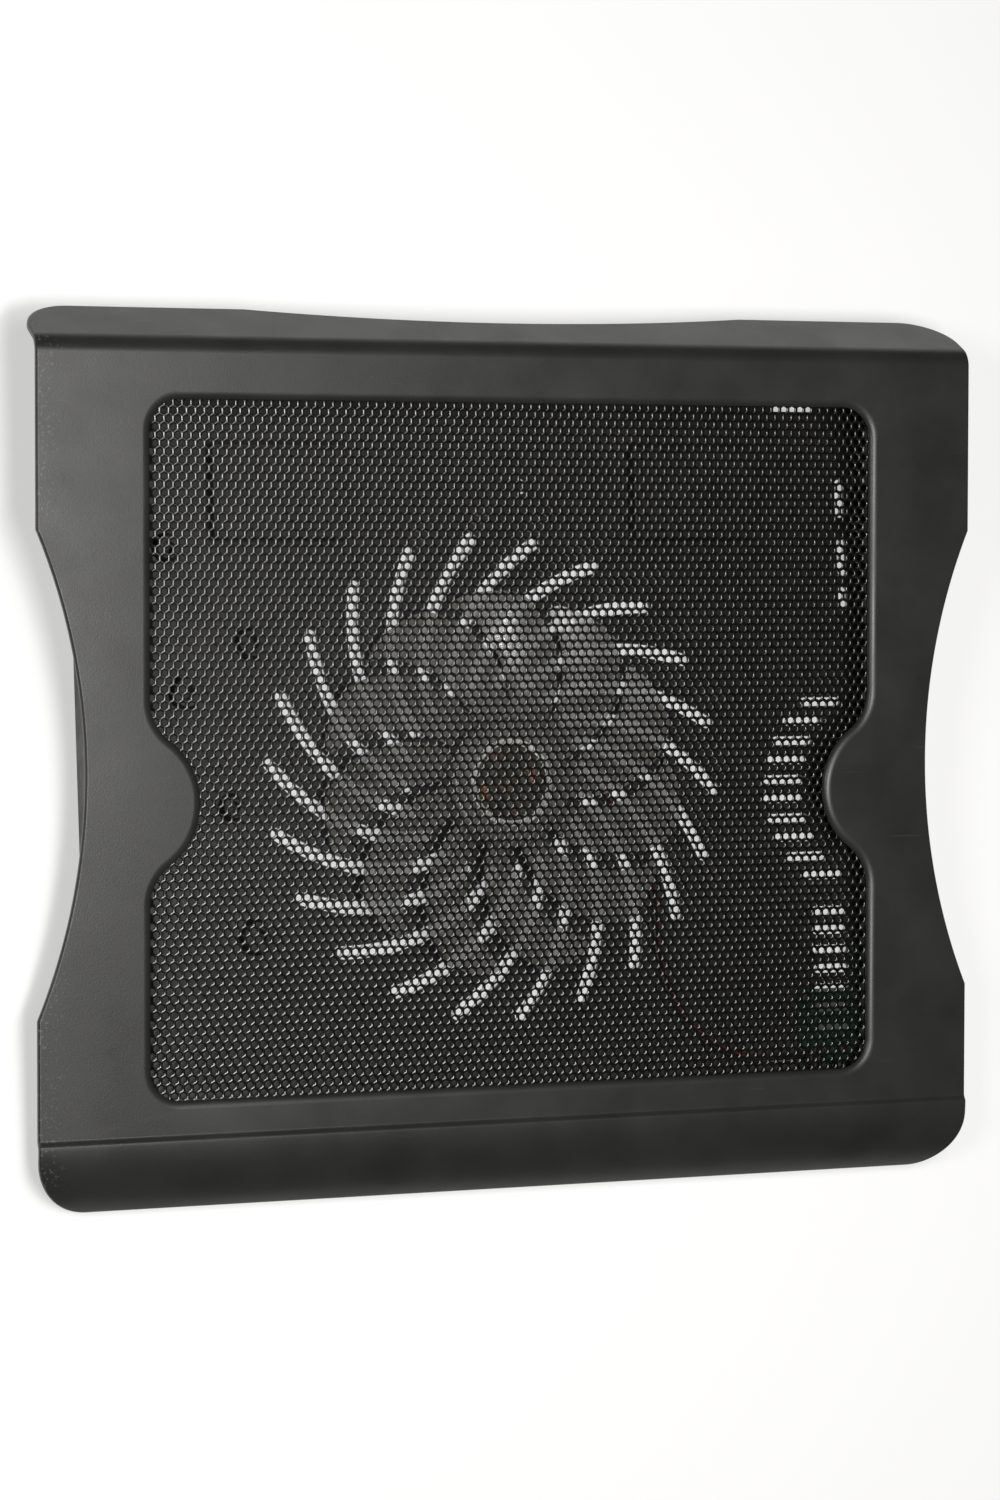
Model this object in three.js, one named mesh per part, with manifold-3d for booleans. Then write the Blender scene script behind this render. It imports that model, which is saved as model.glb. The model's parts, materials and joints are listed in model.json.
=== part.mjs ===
// Laptop cooling pad: a moulded top sheet with a large perforated panel, on a wedge-shaped tray that
// holds one wide open-frame fan over a swirl of air slots. The tray also holds the control board with
// its two sockets and the slide switch, and two fold-out legs at the rear.
// Millimetres, +Z up, +X to the right and +Y to the rear, standing on z = 0.
import * as THREE from 'three';
import { mergeVertices } from 'three/addons/utils/BufferGeometryUtils.js';
import Module from 'manifold-3d';

const { PI, sin, cos, tan, atan, atan2, hypot, sqrt } = Math;
const rad = THREE.MathUtils.degToRad;

// Fits
const GAP = 0.3; // between parts that touch
const BEYOND = 200; // further out than any part, for cutters
const FACETS = 16; // sides of a turned part
const FINE = 28; // sides of a wide or close-fitting one
const COARSE = 10; // sides of a screw, a stud or their holes

// Deck: the tilted top sheet. Its own frame has y up the slope and z square to the surface.
const TILT = rad(5.5);
const DECK_HEIGHT = 28; // of the surface at the middle of the opening
const SHEET = 2.4;
const HALF_WIDTH = 167.7;
const WAIST = { half: 151.6, front: -82, rear: 75.5 };
const LIP = { edge: -146, drop: 8.5, ridgeY: -123, ridge: 1.1, grooveY: -120.6, corner: 18.5 };
const BEND = { y: 132.2, radius: 7 };
const RISER = { angle: rad(63), drop: 23, corner: 17, archHalf: 90, archDepth: 7 };
const OPENING = { half: 129.5, front: -109.8, rear: 117.6, corner: 10 };
const BUMP = { y: -13, reach: 112.4, radius: 25, fillet: 16 };

// Perforated panel, under the opening
const PANEL = { thickness: 0.8, flange: 5.8, corner: 10 };
const PANEL_TOP = -SHEET - GAP;
const CLIP = { stud: 1, washer: 2.6, height: 0.8, inset: 2.9 };

// Tray
const FLOOR_TOP = 5;
const FLOOR_BOTTOM = 2.8;
const WALL = 2.2;
const TRAY = { half: 147.3, front: -130, rear: 128, corner: 16 };
const SCREW = { head: 2.7, shank: 1, top: 13.2, boss: 4.6, bossTop: 9, post: 3.2 };
const SIDE_SCREWS = { x: 141.6, y: [-56, 20, 96] };
const FRONT_SCREWS = { x: 88, y: -124.2 };
const FOOT = { radius: 9, height: 2.5, peg: 2, pegTop: 4.6 };

// Fan, on a vertical axis
const FAN_Y = -8.1;
const BLADES = 11;
const HUB = { radius: 22, wall: 1.8, bottom: 7.2, top: 18.4, roof: 1.6, boss: 3.2, bossBottom: 14.8 };
const HUB_RECESS = { radius: 13.8, slope: 0.6, depth: 0.4 };
const BLADE = { tip: 65, bottom: 7.4, top: 15.4, sweep: rad(27), chord: rad(26.5) };
const SHAFT = { radius: 1.5, bottom: 5.6, top: 16.9 };
const SHAFT_CLIP = { outer: 2.9, bottom: 6.1, top: 6.6 };
const SLEEVE = { outer: 3.1, bottom: 6.9, top: 14.2, clearance: 0.1 };
const THRUST = { radius: 3, bottom: 4.1, top: 5.3 };
const TUBE = { outer: 5.2, inner: 3.4, top: 14.4, floor: 3.8 };
const YOKE = { inner: 19, outer: 19.9, bottom: 8, top: 16.5, roof: 0.8, mouth: 13.9 };
const MAGNET = { inner: 17, outer: 18.7, bottom: 8.6, top: 15.2 };
const STATOR = { bottom: 8.5, top: 13.5, ring: 7.2, neck: 2.2, turn: rad(17) };
const SHOE = { inner: 14.2, outer: 16.4, spread: rad(33) };
const COIL = { from: 7.7, to: 13, half: 4.7, low: 6.7, high: 15.3, corner: 2.6 };
const COIL_HOLE = { half: 2.5, low: 8.2, high: 13.8, corner: 0.4 };
const MOTOR_BOARD = { inner: 5.6, outer: 16.5, bottom: 5.3, top: 6.3 };
const LEAD = { radius: 0.65, spread: 0.85, rib: 18 };

// Air slots in the floor
const SWIRL = { y: -5.7, slots: 22, inner: 32.5, outer: 81, width: 4.5, phase: rad(12.5) };
const SLOT_PITCH = 6.71;
const SLOT_WIDTH = 3;
const BEND_COLUMN = { x: 137.8, y: -12.4, radius: 38, length: 12.5, top: 18.25, slots: 10 };
const STRAIGHT_COLUMN = { left: 118.2, right: 128.6, top: -54.5, slots: 7 };
const WALL_LINE = { x: 133.5, width: 3.5, ends: [[51.8, 56.6], [63.7, 73.7], [84.3, 94.3]] };
const REAR_SLOT = { left: 109.3, right: 123.4, y: 120.6, width: 2 };

// Fold-out legs
const LEG = { inner: 55, outer: 97, hingeY: 80.5, hingeZ: 6.2, end: 103.6, barrel: 2.8, top: 1.2 };
const LEG_WINDOW = { side: 9, near: 6.5, far: 5 };
const TIP = { length: 3.1, half: 14, below: 2.6, above: 1, bevel: 1 };
const POCKET = { front: 76, rear: 104.6, roof: 9.2, wall: 1.8, pin: 1.5 };

// Control board, at the front of the right-hand wall
const BOARD = { left: 109, front: -113, rear: -81.5, tail: -66, tailLeft: 131, thickness: 1.6 };
const BOARD_TOP = FLOOR_TOP + GAP + BOARD.thickness;
const BOARD_PEG = { radius: 1.3, head: 2.2 };
const SOCKET = { width: 13.1, height: 5.7, depth: 14, wall: 0.5, y: [-104.5, -89.8] };
const TONGUE = { thickness: 1.9, root: 3, setBack: 1.6 };
const CONNECTOR = { left: 110.6, right: 116.4, front: -108.4, rear: -101.6, height: 4 };
const CAPACITOR = { x: 121.5, y: -108.6, radius: 2.5, height: 4.6 };
const SWITCH = { y: -72, travel: 2.4, length: 11, height: 5.4, knob: 4.2, stub: 2.6 };

const wasm = await Module();
wasm.setup();

// A closed three.js geometry as a solid that can be joined and cut.
function solid(geometry) {
  const bare = geometry.clone();
  bare.deleteAttribute('normal');
  bare.deleteAttribute('uv');
  const merged = mergeVertices(bare, 1e-4);
  return new wasm.Manifold(
    new wasm.Mesh({
      numProp: 3,
      vertProperties: merged.attributes.position.array,
      triVerts: new Uint32Array(merged.index.array),
    }),
  );
}

// A solid back as a three.js geometry.
function geometryOf(body) {
  const mesh = body.getMesh();
  const geometry = new THREE.BufferGeometry();
  geometry.setAttribute('position', new THREE.BufferAttribute(mesh.vertProperties, 3));
  geometry.setIndex(new THREE.BufferAttribute(mesh.triVerts, 1));
  geometry.computeVertexNormals();
  return geometry;
}

// A shape drawn in x and y, as a prism between two heights.
function prism(shape, z0, z1, curveSegments = 4) {
  const options = { depth: z1 - z0, bevelEnabled: false, curveSegments };
  return new THREE.ExtrudeGeometry(shape, options).translate(0, 0, z0);
}

// The same, with the shape's x and y taken as y and z, between two values of x.
function prismAlongX(shape, x0, x1, curveSegments = 4) {
  const turn = new THREE.Matrix4().makeBasis(
    new THREE.Vector3(0, 1, 0),
    new THREE.Vector3(0, 0, 1),
    new THREE.Vector3(1, 0, 0),
  );
  return prism(shape, x0, x1, curveSegments).applyMatrix4(turn);
}

function roundedRectangle(x0, x1, y0, y1, radius) {
  const shape = new THREE.Shape();
  shape.absarc(x1 - radius, y0 + radius, radius, -PI / 2, 0);
  shape.absarc(x1 - radius, y1 - radius, radius, 0, PI / 2);
  shape.absarc(x0 + radius, y1 - radius, radius, PI / 2, PI);
  shape.absarc(x0 + radius, y0 + radius, radius, PI, PI * 1.5);
  return shape;
}

function block(x0, x1, y0, y1, z0, z1) {
  const geometry = new THREE.BoxGeometry(x1 - x0, y1 - y0, z1 - z0);
  return geometry.translate((x0 + x1) / 2, (y0 + y1) / 2, (z0 + z1) / 2);
}

function disc(x, y, radius, z0, z1, sides = FACETS) {
  const geometry = new THREE.CylinderGeometry(radius, radius, z1 - z0, sides);
  return geometry.rotateX(PI / 2).translate(x, y, (z0 + z1) / 2);
}

// A turned part about Z, from its profile's [radius, height] points, bottom to top on the outside.
function turned(points, sides = FACETS) {
  const profile = points.map(([r, z]) => new THREE.Vector2(r, z));
  return new THREE.LatheGeometry(profile, sides).rotateX(PI / 2);
}

// A square-section ring about Z.
function ring(inner, outer, z0, z1, sides = FINE) {
  const corners = [[inner, z0], [outer, z0], [outer, z1], [inner, z1], [inner, z0]];
  return turned(corners, sides);
}

// A slot of even width along a line of points, with round ends.
function slotShape(points, width) {
  const half = width / 2;
  const last = points.length - 1;
  const heading = (i) => {
    const a = points[Math.max(i - 1, 0)];
    const b = points[Math.min(i + 1, last)];
    return atan2(b.y - a.y, b.x - a.x);
  };
  const offset = (i, angle) =>
    new THREE.Vector2(points[i].x + half * cos(angle), points[i].y + half * sin(angle));
  const outline = [];
  points.forEach((p, i) => outline.push(offset(i, heading(i) - PI / 2)));
  [-PI / 6, PI / 6].forEach((turn) => outline.push(offset(last, heading(last) + turn)));
  points.forEach((p, i) => outline.push(offset(last - i, heading(last - i) + PI / 2)));
  [PI - PI / 6, PI + PI / 6].forEach((turn) => outline.push(offset(0, heading(0) + turn)));
  return new THREE.Shape(outline);
}

const vector = (x, y) => new THREE.Vector2(x, y);
const deckMatrix = new THREE.Matrix4().makeRotationX(TILT).setPosition(0, 0, DECK_HEIGHT);

// Everything under a level of the deck's own frame, in the tray's frame.
function underDeck(level) {
  return solid(block(-BEYOND, BEYOND, -BEYOND, BEYOND, level - BEYOND, level).applyMatrix4(deckMatrix));
}

// ---------------------------------------------------------------- deck

// The sheet's section: the drooping front lip with its low ridge, the flat, and the rear riser.
function sheetProfile() {
  const run = LIP.ridgeY - LIP.edge;
  const lipAngle = 2 * atan((LIP.ridge + LIP.drop) / run);
  const lipRadius = run / sin(lipAngle);
  const lipCentre = LIP.ridge - lipRadius;
  const bendEnd = PI / 2 - RISER.angle;
  const bendDrop = BEND.radius * (1 - cos(RISER.angle));
  const endY = BEND.y + BEND.radius * sin(RISER.angle) + (RISER.drop - bendDrop) / tan(RISER.angle);
  const profile = new THREE.Shape();
  profile.absarc(LIP.ridgeY, lipCentre, lipRadius, PI / 2 + lipAngle, PI / 2, true);
  profile.lineTo((LIP.ridgeY + LIP.grooveY) / 2, LIP.ridge * 0.7);
  profile.lineTo(LIP.grooveY, 0);
  profile.absarc(BEND.y, -BEND.radius, BEND.radius, PI / 2, bendEnd, true);
  profile.lineTo(endY, -RISER.drop);
  profile.lineTo(endY - SHEET * sin(RISER.angle), -RISER.drop - SHEET * cos(RISER.angle));
  profile.absarc(BEND.y, -BEND.radius, BEND.radius - SHEET, bendEnd, PI / 2);
  profile.lineTo(LIP.grooveY, -SHEET);
  profile.absarc(LIP.ridgeY, lipCentre, lipRadius - SHEET, PI / 2, PI / 2 + lipAngle);
  return profile;
}

// The deck from above: round front corners and a waist cut in each side.
function deckOutline() {
  const middle = (WAIST.front + WAIST.rear) / 2;
  const reach = (WAIST.rear - WAIST.front) / 2;
  const depth = HALF_WIDTH - WAIST.half;
  const radius = (reach * reach + depth * depth) / (2 * depth);
  const half = Math.asin(reach / radius);
  const centre = WAIST.half + radius;
  const cx = HALF_WIDTH - LIP.corner;
  const cy = LIP.edge + LIP.corner;
  const shape = new THREE.Shape();
  shape.absarc(cx, cy, LIP.corner, -PI / 2, 0);
  shape.absarc(centre, middle, radius, PI + half, PI - half, true);
  shape.lineTo(HALF_WIDTH, BEYOND);
  shape.lineTo(-HALF_WIDTH, BEYOND);
  shape.absarc(-centre, middle, radius, half, -half, true);
  shape.absarc(-cx, cy, LIP.corner, PI, PI * 1.5);
  return shape;
}

// The opening: a rounded rectangle that a round bump of the frame enters from each side.
function openingOutline() {
  const filletX = OPENING.half - BUMP.fillet;
  const bumpX = BUMP.reach + BUMP.radius;
  const span = sqrt((BUMP.radius + BUMP.fillet) ** 2 - (bumpX - filletX) ** 2);
  const lean = atan2(span, bumpX - filletX);
  const cornerX = OPENING.half - OPENING.corner;
  const frontY = OPENING.front + OPENING.corner;
  const rearY = OPENING.rear - OPENING.corner;
  const shape = new THREE.Shape();
  const bumpIn = (side, turn) => {
    shape.absarc(side * filletX, BUMP.y - side * span, BUMP.fillet, turn, turn + lean);
    shape.absarc(side * bumpX, BUMP.y, BUMP.radius, turn + PI + lean, turn + PI - lean, true);
    shape.absarc(side * filletX, BUMP.y + side * span, BUMP.fillet, turn - lean, turn);
  };
  shape.absarc(cornerX, frontY, OPENING.corner, -PI / 2, 0);
  bumpIn(1, 0);
  shape.absarc(cornerX, rearY, OPENING.corner, 0, PI / 2);
  shape.absarc(-cornerX, rearY, OPENING.corner, PI / 2, PI);
  bumpIn(-1, PI);
  shape.absarc(-cornerX, frontY, OPENING.corner, PI, PI * 1.5);
  return shape;
}

// What the riser loses: its two lower corners and the long shallow arch between them. Drawn in the
// riser's own plane, with y down its slope from the end of the bend.
function riserWaste() {
  const bendDrop = BEND.radius * (1 - cos(RISER.angle));
  const length = (RISER.drop - bendDrop) / sin(RISER.angle);
  const archRadius = (RISER.archHalf ** 2 + RISER.archDepth ** 2) / (2 * RISER.archDepth);
  const archAngle = Math.asin(RISER.archHalf / archRadius);
  const archCentre = length - RISER.archDepth + archRadius;
  const cx = HALF_WIDTH - RISER.corner;
  const kept = new THREE.Shape();
  kept.moveTo(-HALF_WIDTH, -20);
  kept.lineTo(HALF_WIDTH, -20);
  kept.absarc(cx, length - RISER.corner, RISER.corner, 0, PI / 2);
  kept.absarc(0, archCentre, archRadius, -PI / 2 + archAngle, -PI / 2 - archAngle, true);
  kept.absarc(-cx, length - RISER.corner, RISER.corner, PI / 2, PI);
  const waste = solid(block(-BEYOND, BEYOND, 0, 60, -9, 6)).subtract(solid(prism(kept, -10, 10)));
  const down = new THREE.Vector3(0, cos(RISER.angle), -sin(RISER.angle));
  const out = new THREE.Vector3(0, sin(RISER.angle), cos(RISER.angle));
  const place = new THREE.Matrix4().makeBasis(new THREE.Vector3(1, 0, 0), down, out);
  place.setPosition(0, BEND.y + BEND.radius * sin(RISER.angle), -bendDrop);
  return solid(geometryOf(waste).applyMatrix4(place));
}

// Where the panel's clips stand, in the deck's frame.
function clipPlaces() {
  const x = OPENING.half + CLIP.inset;
  const front = OPENING.front - CLIP.inset;
  const rear = OPENING.rear + CLIP.inset;
  const places = [];
  for (const side of [-1, 1]) {
    places.push([side * x, 62], [side * x, -72], [side * 62, front], [side * 62, rear]);
  }
  return places;
}

// Where the case screws stand, in the tray's frame.
function screwPlaces() {
  const places = [];
  for (const side of [-1, 1]) {
    for (const y of SIDE_SCREWS.y) places.push([side * SIDE_SCREWS.x, y]);
    places.push([side * FRONT_SCREWS.x, FRONT_SCREWS.y]);
  }
  return places;
}

function topFrame() {
  let sheet = solid(prismAlongX(sheetProfile(), -BEYOND, BEYOND, 4));
  sheet = sheet.intersect(solid(prism(deckOutline(), -60, 20, 6)));
  sheet = sheet.subtract(solid(prism(openingOutline(), -60, 20, 5)));
  sheet = sheet.subtract(riserWaste());
  for (const [x, y] of clipPlaces()) {
    sheet = sheet.subtract(solid(disc(x, y, CLIP.stud + GAP, -SHEET - 1, -0.9, COARSE)));
  }
  let frame = solid(geometryOf(sheet).applyMatrix4(deckMatrix));
  const belowSkin = underDeck(-SHEET / 2);
  for (const [x, y] of screwPlaces()) {
    const post = solid(disc(x, y, SCREW.post, SCREW.bossTop + GAP, 60, COARSE)).intersect(belowSkin);
    frame = frame.add(post);
    frame = frame.subtract(solid(disc(x, y, SCREW.shank + GAP, 0, SCREW.top + GAP, COARSE)));
  }
  return frame;
}

function meshPanel() {
  const grow = PANEL.flange;
  const half = OPENING.half + grow;
  const front = OPENING.front - grow;
  const rear = OPENING.rear + grow;
  const outline = roundedRectangle(-half, half, front, rear, PANEL.corner);
  let plate = solid(prism(outline, PANEL_TOP - PANEL.thickness, PANEL_TOP, 4));
  for (const [x, y] of clipPlaces()) {
    plate = plate.subtract(solid(disc(x, y, CLIP.stud + GAP, PANEL_TOP - 2, PANEL_TOP + 1, COARSE)));
  }
  return plate;
}

// A stud with a washer head, pushed up through the panel into the frame.
function panelClip() {
  const headTop = PANEL_TOP - PANEL.thickness - GAP;
  const headBottom = headTop - CLIP.height;
  const profile = [[0, headBottom], [CLIP.washer, headBottom], [CLIP.washer, headTop]];
  profile.push([CLIP.stud, headTop], [CLIP.stud, -1.2], [0, -1.2]);
  return turned(profile, COARSE);
}

// ---------------------------------------------------------------- tray

// The swirl's lines turn further round the nearer they come to the middle.
function swirlAngle(radius) {
  const inward = SWIRL.outer - radius;
  return rad(0.72 * inward + 0.0024 * inward * inward);
}

function swirlPoint(radius, start) {
  const angle = start + swirlAngle(radius);
  return vector(radius * cos(angle), SWIRL.y + radius * sin(angle));
}

function swirlSlots() {
  const steps = 4;
  const slots = [];
  for (let k = 0; k < SWIRL.slots; k++) {
    const start = SWIRL.phase + (k * 2 * PI) / SWIRL.slots;
    const points = [];
    for (let i = 0; i <= steps; i++) {
      const radius = SWIRL.inner + ((SWIRL.outer - SWIRL.inner) * i) / steps;
      points.push(swirlPoint(radius, start));
    }
    slots.push(slotShape(points, SWIRL.width));
  }
  return slots;
}

// The slots beside the right-hand wall: a column that bends round the frame's bump, a straight
// column in front of it, and a broken line along the wall behind it.
function sideSlots() {
  const slots = [];
  const across = (x0, x1, y) => slots.push(slotShape([vector(x0, y), vector(x1, y)], SLOT_WIDTH));
  const bend = BEND_COLUMN;
  for (let k = 0; k < bend.slots; k++) {
    const y = bend.top - k * SLOT_PITCH;
    const x = bend.x - sqrt(bend.radius ** 2 - (y - bend.y) ** 2) + SLOT_WIDTH / 2;
    across(x, x + bend.length, y);
  }
  const column = STRAIGHT_COLUMN;
  for (let k = 0; k < column.slots; k++) across(column.left, column.right, column.top - k * SLOT_PITCH);
  for (const [y0, y1] of WALL_LINE.ends) {
    slots.push(slotShape([vector(WALL_LINE.x, y0), vector(WALL_LINE.x, y1)], WALL_LINE.width));
  }
  const { left, right, y, width } = REAR_SLOT;
  slots.push(slotShape([vector(left, y), vector(right, y)], width));
  return slots;
}

// Blind sockets moulded on the left half of the floor, as [x, y, radius].
const SOCKETS = [[-87, 40, 4.6], [-110, 24, 5], [-95, -14, 4], [-115, 72, 4.2], [-88, -57, 5.4]];
// Rubber feet, and the pegs that hold the control board.
const FEET = [[-131, 112], [131, 112], [-118, -114], [118, -114]];
const PEGS = [[112, -84.5], [126, -102.6]];

// A leg's housing stands on the floor and is open below.
function legPocket(side, grow, z0, z1) {
  const x0 = Math.min(side * (LEG.inner - 1), side * (LEG.outer + 1));
  const x1 = Math.max(side * (LEG.inner - 1), side * (LEG.outer + 1));
  const y0 = POCKET.front - grow;
  const y1 = POCKET.rear + grow;
  return solid(block(x0 - grow, x1 + grow, y0, y1, z0, z1));
}

function baseTray() {
  const { half, front, rear, corner } = TRAY;
  const outside = roundedRectangle(-half, half, front, rear, corner);
  const inside = roundedRectangle(-half + WALL, half - WALL, front + WALL, rear - WALL, corner - WALL);
  let tray = solid(prism(outside, FLOOR_BOTTOM, 60)).intersect(underDeck(PANEL_TOP));
  tray = tray.subtract(solid(prism(inside, FLOOR_TOP, 70)));

  // On the floor: screw bosses, sockets, leg housings, the bearing tube and a seat for the motor.
  for (const [x, y] of screwPlaces()) {
    tray = tray.add(solid(disc(x, y, SCREW.boss, FLOOR_TOP - 1, SCREW.bossTop, COARSE)));
  }
  for (const [x, y, r] of SOCKETS) {
    tray = tray.add(solid(disc(x, y, r, FLOOR_TOP - 1, FLOOR_TOP + 4, COARSE)));
    tray = tray.subtract(solid(disc(x, y, r / 2, FLOOR_TOP - 0.8, FLOOR_TOP + 5, COARSE)));
  }
  for (const side of [-1, 1]) {
    tray = tray.add(legPocket(side, POCKET.wall, FLOOR_TOP - 1, POCKET.roof + POCKET.wall));
    tray = tray.subtract(legPocket(side, 0, 0, POCKET.roof));
  }
  tray = tray.add(solid(disc(0, FAN_Y, TUBE.outer, FLOOR_TOP - 1, TUBE.top)));
  tray = tray.subtract(solid(disc(0, FAN_Y, TUBE.inner, TUBE.floor, TUBE.top + 1)));
  for (const [x, y] of PEGS) {
    tray = tray.add(solid(disc(x, y, BOARD_PEG.radius, FLOOR_TOP - 1, BOARD_TOP + 1, COARSE)));
    tray = tray.add(solid(disc(x, y, BOARD_PEG.head, BOARD_TOP + GAP, BOARD_TOP + 1.2, COARSE)));
  }

  // Through the floor: screws, feet and air slots.
  for (const [x, y] of screwPlaces()) {
    tray = tray.subtract(solid(disc(x, y, SCREW.shank + 0.4, 0, 20, COARSE)));
    tray = tray.subtract(solid(disc(x, y, SCREW.head + 0.4, 0, FLOOR_TOP + 0.4, COARSE)));
  }
  for (const [x, y] of FEET) {
    tray = tray.subtract(solid(disc(x, y, FOOT.peg + GAP, 0, 20, COARSE)));
  }
  for (const slot of [...swirlSlots(), ...sideSlots()]) {
    tray = tray.subtract(solid(prism(slot, 0, FLOOR_TOP + 1)));
  }

  // Through the walls: leg pins, the two sockets and the switch.
  const { hingeY, hingeZ } = LEG;
  for (const side of [-1, 1]) {
    const pin = pinGeometry(LEG.inner - 1.9, LEG.outer + 1.9, POCKET.pin + GAP);
    tray = tray.subtract(solid(pin.translate(side * legMiddle(), hingeY, hingeZ)));
  }
  const z = BOARD_TOP + GAP;
  for (const y of SOCKET.y) {
    const w = SOCKET.width / 2 + 0.35;
    tray = tray.subtract(solid(block(140, 160, y - w, y + w, z - 0.35, z + SOCKET.height + 0.35)));
  }
  const reach = (SWITCH.stub + SWITCH.travel) / 2 + GAP;
  const knobZ = BOARD_TOP + GAP + SWITCH.height / 2;
  const knobHalf = SWITCH.stub / 2 + GAP;
  const window = block(140, 160, SWITCH.y - reach, SWITCH.y + reach, knobZ - knobHalf, knobZ + knobHalf);
  return tray.subtract(solid(window));
}

function rubberFoot() {
  const { radius, height, peg, pegTop } = FOOT;
  const profile = [[0, 0], [radius - 0.8, 0], [radius, 0.8], [radius, height]];
  profile.push([peg, height], [peg, pegTop], [0, pegTop]);
  return turned(profile);
}

function caseScrew() {
  const { head, shank, top } = SCREW;
  const seat = FLOOR_TOP + 0.1;
  const profile = [[0, seat - 1.9], [head - 0.6, seat - 1.9], [head, seat - 1.3], [head, seat]];
  profile.push([shank, seat], [shank, top - 1], [0, top]);
  const body = solid(turned(profile, COARSE));
  const bar = solid(block(-1.6, 1.6, -0.35, 0.35, seat - 3, seat - 1));
  const cross = solid(block(-0.35, 0.35, -1.6, 1.6, seat - 3, seat - 1));
  return body.subtract(bar.add(cross));
}

// ---------------------------------------------------------------- legs

function legMiddle() {
  return (LEG.inner + LEG.outer) / 2;
}

// A round bar along X, centred, between two distances from the middle plane.
function pinGeometry(from, to, radius, sides = COARSE) {
  return new THREE.CylinderGeometry(radius, radius, to - from, sides).rotateZ(PI / 2);
}

// The leg lies flat: a plate behind its hinge barrel, with a window that saves plastic. Its frame
// has its origin on the hinge line, at the middle of the leg.
function tiltLeg() {
  const half = (LEG.outer - LEG.inner) / 2;
  const length = LEG.end - TIP.length - GAP - LEG.hingeY;
  const { side, near, far } = LEG_WINDOW;
  const plate = solid(block(-half, half, 0, length, -LEG.barrel, LEG.top));
  const barrel = solid(pinGeometry(-half, half, LEG.barrel));
  const window = solid(block(-half + side, half - side, near, length - far, -2, 5));
  const bore = solid(pinGeometry(-half - 1, half + 1, POCKET.pin + 0.1));
  return plate.add(barrel).subtract(window).subtract(bore);
}

function legTip() {
  const { length, half, below, above, bevel } = TIP;
  const end = LEG.end - LEG.hingeY;
  const side = new THREE.Shape();
  side.moveTo(end - length, -below);
  side.lineTo(end - bevel, -below);
  side.lineTo(end, bevel - below);
  side.lineTo(end, above - bevel);
  side.lineTo(end - bevel, above);
  side.lineTo(end - length, above);
  return prismAlongX(side, -half, half);
}

// ---------------------------------------------------------------- fan and motor

// One blade: a thin twisted plate that leans back from its low leading edge to its high trailing
// edge, swept forward towards the tip.
function blade() {
  const along = 5;
  const across = 3;
  const positions = [];
  const index = [];
  const root = HUB.radius - 1;
  const corner = (i, j, k) => {
    const t = i / along;
    const c = j / across;
    const radius = root + (BLADE.tip - root) * t;
    const angle = BLADE.sweep * t ** 1.4 + BLADE.chord * (c - 0.5) * (1 - 0.06 * t);
    const thick = 1.5 - 0.5 * t;
    const fall = c + 0.1 * sin(PI * c);
    const height = BLADE.top - thick - (BLADE.top - BLADE.bottom - thick) * fall + k * thick;
    return [radius * cos(angle), radius * sin(angle), height];
  };
  for (let k = 0; k < 2; k++)
    for (let i = 0; i <= along; i++)
      for (let j = 0; j <= across; j++) positions.push(...corner(i, j, k));
  const at = (i, j, k) => (k * (along + 1) + i) * (across + 1) + j;
  const quad = (a, b, c, d) => index.push(a, b, c, a, c, d);
  for (let i = 0; i < along; i++)
    for (let j = 0; j < across; j++) {
      quad(at(i, j, 1), at(i + 1, j, 1), at(i + 1, j + 1, 1), at(i, j + 1, 1));
      quad(at(i, j, 0), at(i, j + 1, 0), at(i + 1, j + 1, 0), at(i + 1, j, 0));
    }
  for (let i = 0; i < along; i++) {
    quad(at(i, 0, 0), at(i + 1, 0, 0), at(i + 1, 0, 1), at(i, 0, 1));
    quad(at(i, across, 0), at(i, across, 1), at(i + 1, across, 1), at(i + 1, across, 0));
  }
  for (let j = 0; j < across; j++) {
    quad(at(0, j, 0), at(0, j, 1), at(0, j + 1, 1), at(0, j + 1, 0));
    quad(at(along, j, 0), at(along, j + 1, 0), at(along, j + 1, 1), at(along, j, 1));
  }
  const geometry = new THREE.BufferGeometry();
  geometry.setAttribute('position', new THREE.Float32BufferAttribute(positions, 3));
  geometry.setIndex(index);
  return geometry;
}

// The hub is a cup, open below, with a boss for the shaft and a shallow round recess on top.
function fanRotor() {
  const { radius, wall, bottom, top, roof, boss, bossBottom } = HUB;
  const { radius: dish, slope, depth } = HUB_RECESS;
  const inner = radius - wall;
  const under = top - roof;
  const profile = [[0, bossBottom], [boss, bossBottom], [boss, under], [inner, under], [inner, bottom]];
  profile.push([radius, bottom], [radius, top - 2], [radius - 0.6, top - 0.6], [radius - 2, top]);
  profile.push([dish + slope, top], [dish, top - depth], [0, top - depth]);
  let rotor = solid(turned(profile, FINE));
  for (let k = 0; k < BLADES; k++) {
    rotor = rotor.add(solid(blade().rotateZ((k * 2 * PI) / BLADES)));
  }
  const core = solid(disc(0, 0, inner, 0, under, FINE)).subtract(solid(disc(0, 0, boss, 0, under, FINE)));
  rotor = rotor.subtract(core);
  return rotor.subtract(solid(disc(0, 0, SHAFT.radius + GAP, 0, SHAFT.top + GAP, FINE)));
}

// A steel cup whose roof is open in the middle.
function rotorYoke() {
  const { inner, outer, bottom, top, roof, mouth } = YOKE;
  const profile = [[inner, bottom], [outer, bottom], [outer, top], [mouth, top]];
  profile.push([mouth, top - roof], [inner, top - roof], [inner, bottom]);
  return turned(profile, FINE);
}

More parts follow.
